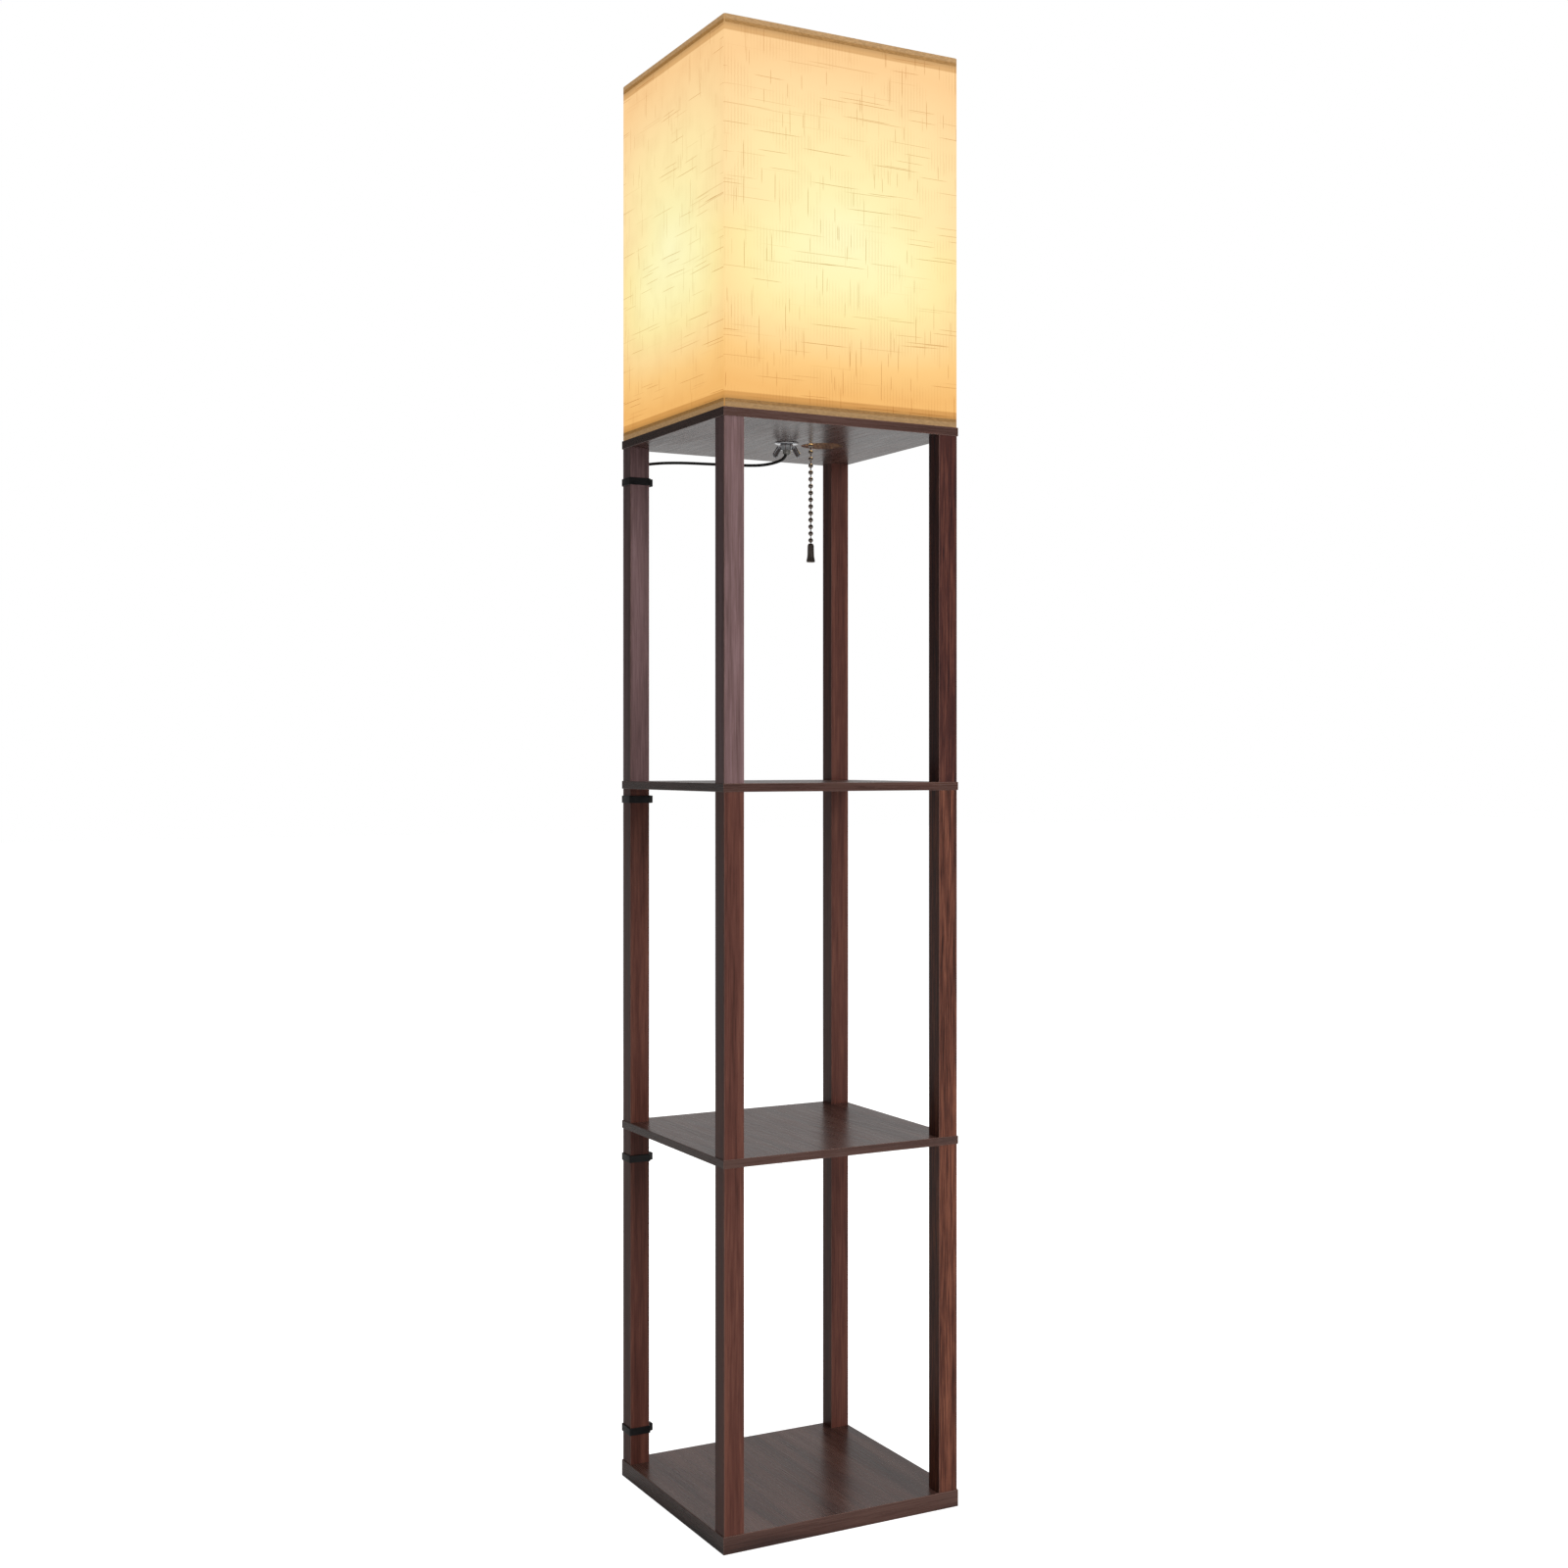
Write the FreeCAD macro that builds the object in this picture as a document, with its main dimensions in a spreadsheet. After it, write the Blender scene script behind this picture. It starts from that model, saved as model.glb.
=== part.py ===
import FreeCAD, Part
import math
import os
import Sketcher

# Shelf floor lamp: four square posts in three storeys carry a base board, two
# shelves and a top board. A square fabric shade stands on the top board over a
# pull-chain lamp holder, and the lead runs down behind the rear left post.
# Millimetres, +Z up, origin at the bottom centre. The front is -Y, the left -X.

V = FreeCAD.Vector

DIMENSIONS = {
    # boards
    "boardSide": 283.0,
    "boardArris": 0.6,
    "baseThick": 18.5,
    "shelfThick": 9.0,
    "topThick": 9.5,
    # posts
    "postLength": 382.0,
    "postSide": 23.0,
    "postInset": 1.0,
    "postArris": 0.9,
    # screws that join the posts through the boards
    "screwRadius": 3.0,
    "screwGap": 0.3,
    "screwBite": 18.0,
    "pilotDepth": 22.0,
    "insertRadius": 4.2,
    "insertLength": 15.0,
    "insertSink": 0.5,
    "threadGap": 0.05,
    "headRadius": 6.0,
    "headThick": 3.5,
    "recessGap": 1.0,
    "recessDepth": 6.5,
    "keyRadius": 2.0,
    "keyDepth": 2.0,
    # threaded tube and what clamps it
    "tubeRadius": 4.9,
    "tubeBore": 3.5,
    "tubeDrop": 13.0,
    "tubeGrip": 8.0,
    "boreGap": 0.1,
    "washerRadius": 13.5,
    "washerThick": 1.5,
    "nutRadius": 7.4,
    "nutLength": 7.0,
    "wingReach": 15.8,
    "wingThick": 2.4,
    "wingDrop": 9.0,
    "wingTurn": 149.5,
    "bushLength": 8.0,
    "bushSink": 6.0,
    # hole for the pull chain
    "chainHoleRadius": 24.0,
    "chainHoleX": 45.0,
    # shade
    "shadeHeight": 408.0,
    "shadeInset": 0.5,
    "trimThick": 0.5,
    "trimHeight": 9.0,
    "trimInside": 4.0,
    "fabricThick": 0.6,
    "panelThick": 0.8,
    "wireRadius": 1.5,
    "wireGap": 0.1,
    "wireCorner": 8.0,
    "wireLift": 7.5,
    "cornerRodRadius": 1.2,
    "spokeClear": 1.2,
    "spokeWeld": 0.3,
    "ringRadius": 17.0,
    "ringThick": 1.5,
    # lamp holder
    "flangeRadius": 13.0,
    "flangeLength": 10.0,
    "sleeveRadius": 6.5,
    "sleeveLength": 44.8,
    "capRadius": 17.5,
    "capHeight": 19.0,
    "capWall": 1.0,
    "shellHeight": 46.0,
    "blockLift": 12.0,
    "blockHeight": 33.0,
    "linerGap": 0.1,
    "linerThick": 0.8,
    "threadShell": 0.6,
    "contactRadius": 3.5,
    "contactHeight": 2.0,
    # switch arm and pull chain
    "armRadius": 4.0,
    "armLift": 28.0,
    "armSeat": 4.0,
    "chainX": 30.5,
    "edgeBevel": 0.8,
    "mouthRadius": 3.4,
    "mouthAbove": 5.0,
    "mouthBelow": 13.0,
    "mouthCap": 1.5,
    "linkWire": 0.6,
    "linkHang": 4.2,
    "linkInside": 13.0,
    "ballRadius": 2.75,
    "ballPitch": 7.7,
    "couplingRadius": 3.9,
    "couplingCover": 2.2,
    "ballCount": 25.0,
    "bellRadius": 4.8,
    "bellHeight": 21.0,
    "bellLip": 1.2,
    # bulb
    "bulbGap": 0.1,
    "bulbThread": 13.1,
    "bulbBase": 24.0,
    "bulbRadius": 30.0,
    "bulbLength": 84.0,
    # cable ties
    "tieWidth": 8.2,
    "tieThick": 1.3,
    "tieGap": 0.05,
    "tieHeadOut": 6.0,
    "tieHeadWide": 9.0,
    "tieHeadTall": 9.4,
    "tieHeadPlace": 5.5,
    "tieSlack": 0.7,
    "tieHigh": 1144.0,
    "tieUpper": 779.5,
    "tieLower": 368.0,
    "tieFoot": 56.0,
    # lead
    "cordRadius": 1.7,
    "cordGap": 0.25,
    "hankRun": 60.0,
    "hankTurn": 10.2,
    "hankPitch": 4.3,
    "hankWaist": 4.0,
    "hankX": -40.0,
    "wrapWidth": 7.0,
    "wrapThick": 0.6,
    "wrapGap": 0.28,
    "plugLength": 26.0,
    "plugWidth": 20.0,
    "plugThick": 10.6,
    "plugX": 52.0,
    "plugY": 153.6,
    "plugRound": 3.0,
    "reliefLength": 22.0,
    "reliefRadius": 4.2,
    "bladeLength": 17.0,
    "bladeWidth": 6.35,
    "bladeThick": 1.5,
    "bladeSpacing": 12.7,
}


class Size:
    # a size as text for an expression, with its value for plain geometry
    def __init__(self, text, value):
        self.text = text
        self.value = float(value)

    def join(self, other, sign, value):
        return Size("(" + self.text + " " + sign + " " + size(other).text + ")", value)

    def __add__(self, other):
        return self.join(other, "+", self.value + size(other).value)

    def __sub__(self, other):
        return self.join(other, "-", self.value - size(other).value)

    def __mul__(self, other):
        return self.join(other, "*", self.value * size(other).value)

    def __truediv__(self, other):
        return self.join(other, "/", self.value / size(other).value)

    def __neg__(self):
        return Size("(0 - " + self.text + ")", -self.value)


def size(number):
    return number if isinstance(number, Size) else Size(repr(float(number)), number)


doc = FreeCAD.newDocument("ShelfFloorLamp")
sheet = doc.addObject("Spreadsheet::Sheet", "Dims")
for row, (name, number) in enumerate(DIMENSIONS.items(), start=1):
    sheet.set("A%d" % row, name)
    sheet.set("B%d" % row, str(number))
    sheet.setAlias("B%d" % row, name)
doc.recompute()


def dim(name):
    return Size("Dims." + name, sheet.get(name))


nodes = {}      # node name -> document object
zero = size(0)


# ---------------------------------------------------------------- helpers

def keep(name, obj):
    obj.Label = name
    nodes[name] = obj
    return obj


def setTo(obj, prop, value):
    obj.setExpression(prop, size(value).text)


def put(obj, x=0, y=0, z=0):
    for axis, value in zip("xyz", (x, y, z)):
        if isinstance(value, Size) or value != 0:
            setTo(obj, "Placement.Base." + axis, value)
    return obj


def newBody(name):
    return doc.addObject("PartDesign::Body", name)


def newSketch(body, role="XY_Plane", lift=None):
    plane = [f for f in body.Origin.OriginFeatures if f.Role == role][0]
    sketch = body.newObject("Sketcher::SketchObject", body.Name + "Sketch")
    sketch.AttachmentSupport = [(plane, "")]
    sketch.MapMode = "FlatFace"
    if lift is not None:
        setTo(sketch, "AttachmentOffset.Base.z", lift)
    return sketch


def constrain(sketch, value, *terms):
    index = sketch.addConstraint(Sketcher.Constraint(*terms, value.value))
    sketch.setExpression("Constraints[%d]" % index, value.text)


def lockPoint(sketch, geo, end, x, y):
    # a coordinate that is always zero lies on the axis instead
    for value, kind, axis in ((x, "DistanceX", -2), (y, "DistanceY", -1)):
        if isinstance(value, Size):
            constrain(sketch, value, kind, -1, 1, geo, end)
        else:
            sketch.addConstraint(Sketcher.Constraint("PointOnObject", geo, end, axis))


def drawPolygon(sketch, points):
    at = [V(size(x).value, size(y).value, 0) for x, y in points]
    first = sketch.GeometryCount
    count = len(at)
    for k in range(count):
        sketch.addGeometry(Part.LineSegment(at[k], at[(k + 1) % count]), False)
    for k in range(count):
        sketch.addConstraint(Sketcher.Constraint("Coincident", first + k, 2, first + (k + 1) % count, 1))
    for k, (x, y) in enumerate(points):
        lockPoint(sketch, first + k, 1, x, y)


def drawRectangle(sketch, x0, y0, x1, y1):
    drawPolygon(sketch, [(x0, y0), (x1, y0), (x1, y1), (x0, y1)])


def drawCircle(sketch, x, y, radius):
    centre = V(size(x).value, size(y).value, 0)
    geo = sketch.addGeometry(Part.Circle(centre, V(0, 0, 1), radius.value), False)
    constrain(sketch, radius, "Radius", geo)
    lockPoint(sketch, geo, 3, x, y)


def pad(body, sketch, length):
    feature = body.newObject("PartDesign::Pad", body.Name + "Pad")
    feature.Profile = sketch
    setTo(feature, "Length", length)
    doc.recompute()
    return feature


def pocket(body, sketch, depth, upward=True):
    before = body.Shape.Volume
    feature = body.newObject("PartDesign::Pocket", body.Name + "Pocket")
    feature.Profile = sketch
    feature.Reversed = upward
    setTo(feature, "Length", depth)
    doc.recompute()
    if not body.Shape.Volume < before:
        raise RuntimeError("a pocket of " + body.Name + " cuts nothing")
    return feature


def fillet(body, feature, radius, test):
    names = ["Edge%d" % (k + 1) for k, edge in enumerate(feature.Shape.Edges) if test(edge)]
    rounding = body.newObject("PartDesign::Fillet", body.Name + "Fillet")
    rounding.Base = (feature, names)
    setTo(rounding, "Radius", radius)
    doc.recompute()
    return rounding


def upright(edge):
    a, b = edge.Vertexes[0].Point, edge.Vertexes[-1].Point
    return abs(b.z - a.z) > 1e-6 and math.hypot(b.x - a.x, b.y - a.y) < 1e-6


def turned(name, points, x=0, y=0, z=0):
    # a piece made on a lathe: (radius, height) corners round the vertical axis
    body = newBody(name)
    sketch = newSketch(body, "XZ_Plane")
    drawPolygon(sketch, points)
    feature = body.newObject("PartDesign::Revolution", name + "Turn")
    feature.Profile = sketch
    feature.ReferenceAxis = (sketch, ["V_Axis"])
    feature.Angle = 360.0
    put(body, x, y, z)
    doc.recompute()
    return body


def feature(name, shape):
    obj = doc.addObject("Part::Feature", name)
    obj.Shape = shape
    return obj


# ----------------------------------------------------------------- levels

boardSide = dim("boardSide")
half = boardSide / 2
baseThick, shelfThick, topThick = dim("baseThick"), dim("shelfThick"), dim("topThick")
postLength, postSide, postInset = dim("postLength"), dim("postSide"), dim("postInset")

baseTop = baseThick
lowerUnder = baseTop + postLength
lowerTop = lowerUnder + shelfThick
upperUnder = lowerTop + postLength
upperTop = upperUnder + shelfThick
topUnder = upperTop + postLength
topFace = topUnder + topThick

postNear = postInset                                # post faces along a board's side
postMid = postInset + postSide / 2
postFar = boardSide - postInset - postSide / 2
screwRadius, screwGap, screwBite = dim("screwRadius"), dim("screwGap"), dim("screwBite")
headRadius, headThick = dim("headRadius"), dim("headThick")
tubeRadius, boreGap = dim("tubeRadius"), dim("boreGap")
screwSpots = [(sx, sy) for sx in (-1, 1) for sy in (-1, 1)]


def postCentre(sign):
    return (half - postMid) * sign


# ----------------------------------------------------------------- boards

def board(name, under, thick):
    body = newBody(name)
    outline = newSketch(body)
    drawRectangle(outline, 0, 0, boardSide, boardSide)
    block = pad(body, outline, thick)
    fillet(body, block, dim("boardArris"), lambda edge: True)
    holes = newSketch(body)
    for x in (postMid, postFar):
        for y in (postMid, postFar):
            drawCircle(holes, x, y, screwRadius + screwGap)
    pocket(body, holes, thick)
    put(body, -half, -half, under)
    return keep(name, body)


baseBoard = board("base_board", zero, baseThick)
recess = newSketch(baseBoard)
for x in (postMid, postFar):
    for y in (postMid, postFar):
        drawCircle(recess, x, y, headRadius + dim("recessGap"))
pocket(baseBoard, recess, dim("recessDepth"))

board("lower_shelf", lowerUnder, shelfThick)
board("upper_shelf", upperUnder, shelfThick)
topBoard = board("top_board", topUnder, topThick)
openings = newSketch(topBoard)
drawCircle(openings, half, half, tubeRadius + boreGap)
drawCircle(openings, half + dim("chainHoleX"), half, dim("chainHoleRadius"))
pocket(topBoard, openings, topThick)


# ------------------------------------------------------------------ posts

def post(name, x, y, foot):
    body = newBody(name)
    outline = newSketch(body)
    side = postSide / 2
    drawRectangle(outline, -side, -side, side, side)
    bar = pad(body, outline, postLength)
    fillet(body, bar, dim("postArris"), upright)
    below = newSketch(body)
    drawCircle(below, 0, 0, dim("insertRadius"))
    pocket(body, below, dim("pilotDepth"))
    above = newSketch(body, lift=postLength)
    drawCircle(above, 0, 0, dim("insertRadius"))
    pocket(body, above, dim("pilotDepth"), upward=False)
    put(body, x, y, foot)
    return keep(name, body)


corners = {"front_left": (-1, -1), "front_right": (1, -1), "rear_left": (-1, 1), "rear_right": (1, 1)}
storeys = {"lower": baseTop, "middle": lowerTop, "upper": upperTop}
for storey, foot in storeys.items():
    for corner, (sx, sy) in corners.items():
        post("post_" + storey + "_" + corner, postCentre(sx), postCentre(sy), foot)


# ------------------------------------------- screws, studs and inserts

def group(name, pieces):
    compound = doc.addObject("Part::Compound", name)
    compound.Links = pieces
    doc.recompute()
    return keep(name, compound)


def tube(name, outer, inner, length, x, y, z):
    wall = doc.addObject("Part::Cylinder", name + "Outer")
    hole = doc.addObject("Part::Cylinder", name + "Inner")
    for cylinder, radius in ((wall, outer), (hole, inner)):
        setTo(cylinder, "Radius", radius)
        setTo(cylinder, "Height", length)
    cut = doc.addObject("Part::Cut", name)
    cut.Base = wall
    cut.Tool = hole
    put(cut, x, y, z)
    return cut


insertLength, insertSink = dim("insertLength"), dim("insertSink")
inserts = []
for storey, foot in storeys.items():
    for sx, sy in screwSpots:
        for height in (foot + insertSink, foot + postLength - insertSink - insertLength):
            inserts.append(tube("insert%d" % len(inserts), dim("insertRadius"), screwRadius + dim("threadGap"),
                                insertLength, postCentre(sx), postCentre(sy), height))
group("post_inserts", inserts)


def screwGroup(name, points, level):
    group(name, [turned(name + str(k), points, postCentre(sx), postCentre(sy), level)
                 for k, (sx, sy) in enumerate(screwSpots)])


keyRadius, keyDepth = dim("keyRadius"), dim("keyDepth")
baseReach = headThick + baseThick - dim("recessDepth") + screwBite
screwGroup("base_screws", [(0, keyDepth), (keyRadius, keyDepth), (keyRadius, 0), (headRadius, 0),
                           (headRadius, headThick), (screwRadius, headThick), (screwRadius, baseReach), (0, baseReach)],
           dim("recessDepth") - headThick)
studReach = shelfThick + screwBite * 2
stud = [(0, 0), (screwRadius, 0), (screwRadius, studReach), (0, studReach)]
screwGroup("lower_studs", stud, lowerUnder - screwBite)
screwGroup("upper_studs", stud, upperUnder - screwBite)
shankReach = topThick + screwBite
headTop = shankReach + headThick
screwGroup("top_screws", [(0, 0), (screwRadius, 0), (screwRadius, shankReach), (headRadius, shankReach),
                          (headRadius, headTop), (keyRadius, headTop), (keyRadius, headTop - keyDepth),
                          (0, headTop - keyDepth)], topUnder - screwBite)


# ------------------------------------------------ threaded tube and clamp

tubeBore = dim("tubeBore")
tubeFoot = topUnder - dim("tubeDrop")
flangeFoot = topFace + dim("ringThick")
sleeveFoot = flangeFoot + dim("flangeLength")
capFoot = sleeveFoot + dim("sleeveLength")
tubeLength = capFoot + dim("tubeGrip") - tubeFoot
holeRadius = tubeRadius + boreGap

keep("threaded_tube", tube("threadedTube", tubeRadius, tubeBore, tubeLength, 0, 0, tubeFoot))
washerThick, nutLength = dim("washerThick"), dim("nutLength")
washerFoot = topUnder - washerThick
keep("under_washer", tube("underWasher", dim("washerRadius"), holeRadius, washerThick, 0, 0, washerFoot))

nutRadius = dim("nutRadius")
nutFoot = washerFoot - nutLength
nutHub = turned("wingNutHub", [(holeRadius, 0), (nutRadius - 1, 0), (nutRadius, nutLength), (holeRadius, nutLength)],
                z=nutFoot)
wingReach, wingDrop, wingThick = dim("wingReach"), dim("wingDrop"), dim("wingThick")
wings = newBody("wingNutWings")
wingSketch = newSketch(wings, "XZ_Plane")
wingRoot = holeRadius + 1
for side in (1, -1):
    # an ear that leaves the hub high up, slopes out and down and curls back under
    drawPolygon(wingSketch, [(wingRoot * side, nutLength * 0.54), (wingReach * 0.64 * side, nutLength * 0.77),
                             (wingReach * side, wingDrop * -0.45), (wingReach * 0.92 * side, wingDrop * -0.86),
                             (wingReach * 0.75 * side, -wingDrop), (wingReach * 0.64 * side, wingDrop * -0.8),
                             (wingRoot * side, nutLength * 0.12)])
wingPad = pad(wings, wingSketch, wingThick)
wingPad.Midplane = True
put(wings, z=nutFoot)
doc.recompute()
wingNut = doc.addObject("Part::MultiFuse", "wingNut")
wingNut.Shapes = [nutHub, wings]
wingNut.Placement.Rotation = FreeCAD.Rotation(V(0, 0, 1), 0)
setTo(wingNut, "Placement.Rotation.Angle", dim("wingTurn"))
keep("wing_nut", wingNut)

cordRadius = dim("cordRadius")
bushSink, bushLength = dim("bushSink"), dim("bushLength")
keep("cord_bushing", tube("cordBushing", tubeBore, cordRadius + dim("threadGap"), bushLength, 0, 0,
                          tubeFoot + bushSink))


# ------------------------------------------------------------------ shade

shadeSide, shadeHeight = boardSide - dim("shadeInset") * 2, dim("shadeHeight")
trimThick, fabricThick, panelThick = dim("trimThick"), dim("fabricThick"), dim("panelThick")
fabricHalf = shadeSide / 2 - trimThick
panelHalf = fabricHalf - fabricThick
insideHalf = panelHalf - panelThick
shadeFoot = topFace
shadeTop = shadeFoot + shadeHeight
clothHeight = shadeHeight - trimThick * 2


def frameBody(name, steps, foot, flip=False):
    # square rings stacked from one level: (outer half, inner half, height)
    body = newBody(name)
    for outer, inner, height in steps:
        sketch = newSketch(body)
        drawRectangle(sketch, -outer, -outer, outer, outer)
        drawRectangle(sketch, -inner, -inner, inner, inner)
        ring = pad(body, sketch, height)
        ring.Reversed = flip
    put(body, z=foot)
    doc.recompute()
    return keep(name, body)


frameBody("shade_fabric", [(fabricHalf, panelHalf, clothHeight)], shadeFoot + trimThick)
trimOuter = shadeSide / 2
trimInner = insideHalf - trimThick
trimSteps = [(trimOuter, trimInner, trimThick), (trimOuter, fabricHalf, dim("trimHeight")),
             (insideHalf, trimInner, trimThick + dim("trimInside"))]
frameBody("bottom_trim", trimSteps, shadeFoot)
frameBody("top_trim", trimSteps, shadeTop, flip=True)


def panel(name, x, y, wide, deep):
    box = doc.addObject("Part::Box", name)
    setTo(box, "Length", wide)
    setTo(box, "Width", deep)
    setTo(box, "Height", clothHeight)
    put(box, x, y, shadeFoot + trimThick)
    return keep(name, box)


panel("shade_panel_front", -panelHalf, -panelHalf, panelHalf * 2, panelThick)
panel("shade_panel_rear", -panelHalf, insideHalf, panelHalf * 2, panelThick)
panel("shade_panel_left", -panelHalf, -insideHalf, panelThick, insideHalf * 2)
panel("shade_panel_right", insideHalf, -insideHalf, panelThick, insideHalf * 2)

wireRadius = dim("wireRadius").value
wireHalf = insideHalf.value - dim("wireGap").value - wireRadius
wireCorner = dim("wireCorner").value


def squareWire(level):
    # a bent wire square: four straight sides and four quarter bends
    straight = wireHalf - wireCorner
    solids = []
    for k in range(4):
        bend = Part.makeTorus(wireCorner, wireRadius, V(0, 0, 0), V(0, 0, 1), -180, 180, 90)
        bend.translate(V(straight, straight, level))
        side = Part.makeCylinder(wireRadius, 2 * straight, V(wireHalf, -straight, level), V(0, 1, 0))
        for solid in (bend, side):
            solid.rotate(V(0, 0, 0), V(0, 0, 1), 90 * k)
            solids.append(solid)
    return solids[0].multiFuse(solids[1:])


def spoke(start, end, angle):
    a, b = V(start[0], 0, start[1]), V(end[0], 0, end[1])
    rod = Part.makeCylinder(wireRadius, (b - a).Length, a, b - a)
    rod.rotate(V(0, 0, 0), V(0, 0, 1), angle)
    return rod


ringRadius, ringThick = dim("ringRadius"), dim("ringThick")
lowWire = (shadeFoot + dim("wireLift")).value
ringTop = (shadeFoot + ringThick).value
diagonal = (wireHalf - wireCorner) * math.sqrt(2) + wireCorner
ring = Part.makeCylinder(ringRadius.value, ringThick.value, V(0, 0, shadeFoot.value))
ring = ring.cut(Part.makeCylinder(holeRadius.value, ringThick.value, V(0, 0, shadeFoot.value)))
spokeStart = ((dim("flangeRadius") + dim("spokeClear")).value, ringTop + wireRadius - dim("spokeWeld").value)
spokes = [spoke(spokeStart, (diagonal, lowWire), 45 + 90 * k) for k in range(4)]
lowFrame = squareWire(lowWire).multiFuse([ring] + spokes)
keep("shade_bottom_frame", feature("shadeBottomFrame", lowFrame))

# four thinner rods stand on the low wire's bends and carry the high wire
highWire = (shadeTop - dim("wireLift")).value
rodFoot = lowWire + wireRadius
rodPlace = wireHalf - wireCorner + wireCorner * math.sqrt(0.5)
rods = [Part.makeCylinder(dim("cornerRodRadius").value, highWire - rodFoot, V(rodPlace * sx, rodPlace * sy, rodFoot))
        for sx, sy in screwSpots]
keep("shade_top_frame", feature("shadeTopFrame", squareWire(highWire).multiFuse(rods)))


# ------------------------------------------------------------ lamp holder

flangeLength, sleeveRadius = dim("flangeLength"), dim("sleeveRadius")
flangeRadius = dim("flangeRadius")
keep("base_flange", turned("baseFlange", [(holeRadius, 0), (flangeRadius, 0), (flangeRadius, size(2)),
                                          (sleeveRadius + 1.5, flangeLength), (holeRadius, flangeLength)],
                           z=flangeFoot))
keep("riser_sleeve", tube("riserSleeve", sleeveRadius, holeRadius, dim("sleeveLength"), 0, 0, sleeveFoot))

capRadius, capHeight, capWall = dim("capRadius"), dim("capHeight"), dim("capWall")
capSlope = capHeight - 8
keep("socket_cap", turned("socketCap", [
    (holeRadius, 0), (sleeveRadius + 2, 0), (capRadius, capSlope), (capRadius, capHeight),
    (capRadius - capWall, capHeight), (capRadius - capWall, capSlope + 0.5),
    (sleeveRadius + 1.4, capWall * 1.5), (holeRadius, capWall * 1.5)], z=capFoot))

shellFoot = capFoot + capHeight
shellHeight = dim("shellHeight")
armRadius, chainX = dim("armRadius"), dim("chainX")
armLevel = capFoot + dim("armLift")
shellTube = tube("socketShellTube", capRadius, capRadius - capWall, shellHeight, 0, 0, shellFoot)


def sideBore(name, radius, start, length, level):
    bore = doc.addObject("Part::Cylinder", name)
    setTo(bore, "Radius", radius)
    setTo(bore, "Height", length)
    bore.Placement.Rotation = FreeCAD.Rotation(V(0, 1, 0), 90)
    put(bore, start, 0, level)
    return bore


shell = doc.addObject("Part::Cut", "socketShell")
shell.Base = shellTube
shell.Tool = sideBore("shellBore", armRadius + boreGap, size(5), capRadius, armLevel)
keep("socket_shell", shell)

blockRadius = capRadius - capWall - boreGap
blockFoot = capFoot + dim("blockLift")
blockHeight = dim("blockHeight")
blockTop = blockFoot + blockHeight
armStart = blockRadius - dim("armSeat")
blockBody = turned("socketBlockBody", [(0, 0), (blockRadius - 3, 0), (blockRadius, size(4)), (blockRadius, blockHeight),
                                       (0, blockHeight)], z=blockFoot)
block = doc.addObject("Part::Cut", "socketBlock")
block.Base = blockBody
block.Tool = sideBore("blockBore", armRadius, armStart, capRadius, armLevel)
keep("socket_block", block)

linerThick, linerGap = dim("linerThick"), dim("linerGap")
linerHeight = shellFoot + shellHeight - blockTop - 1
keep("socket_liner", tube("socketLiner", blockRadius, blockRadius - linerThick, linerHeight, 0, 0, blockTop))

bulbThread, bulbGap, threadShell = dim("bulbThread"), dim("bulbGap"), dim("threadShell")
keep("screw_shell", tube("screwShell", bulbThread + bulbGap + threadShell, bulbThread + bulbGap, linerHeight - 1,
                         0, 0, blockTop))
contactRadius, contactHeight = dim("contactRadius"), dim("contactHeight")
keep("centre_contact", turned("centreContact", [(0, 0), (contactRadius, 0), (contactRadius - 1, contactHeight),
                                                (0, contactHeight)], z=blockTop))

# switch arm: a stub that seats in the block, and a mouth that points down
mouthRadius, linkWire = dim("mouthRadius"), dim("linkWire")
mouthFoot = armLevel - dim("mouthBelow")
mouthLength = dim("mouthBelow") + dim("mouthAbove")
mouthBore = linkWire + dim("threadGap")
bevel, capWeb = dim("edgeBevel"), dim("mouthCap")
mouth = turned("armMouth", [(mouthBore, 0), (mouthRadius - bevel, 0), (mouthRadius, bevel),
                            (mouthRadius, mouthLength - bevel), (mouthRadius - bevel, mouthLength), (0, mouthLength),
                            (0, mouthLength - capWeb), (mouthBore, mouthLength - capWeb)], chainX, 0, mouthFoot)
stub = sideBore("armStub", armRadius, armStart, chainX - armStart - mouthBore - bevel, armLevel)
arm = doc.addObject("Part::MultiFuse", "switchArm")
arm.Shapes = [mouth, stub]
keep("switch_arm", arm)


# -------------------------------------------------------------- pull chain

ballRadius, ballPitch = dim("ballRadius"), dim("ballPitch")


def ball(name, radius, x, z):
    sphere = doc.addObject("Part::Sphere", name)
    setTo(sphere, "Radius", radius)
    put(sphere, x, 0, z)
    return sphere


def rod(name, radius, foot, length):
    wire = doc.addObject("Part::Cylinder", name)
    setTo(wire, "Radius", radius)
    setTo(wire, "Height", length)
    put(wire, chainX, 0, foot)
    return wire


linkBall = mouthFoot - dim("linkHang")
link = doc.addObject("Part::MultiFuse", "pullLink")
link.Shapes = [ball("linkBall", ballRadius, chainX, linkBall),
               rod("linkRod", linkWire, linkBall, dim("linkHang") + dim("linkInside"))]
keep("pull_link", link)

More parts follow.
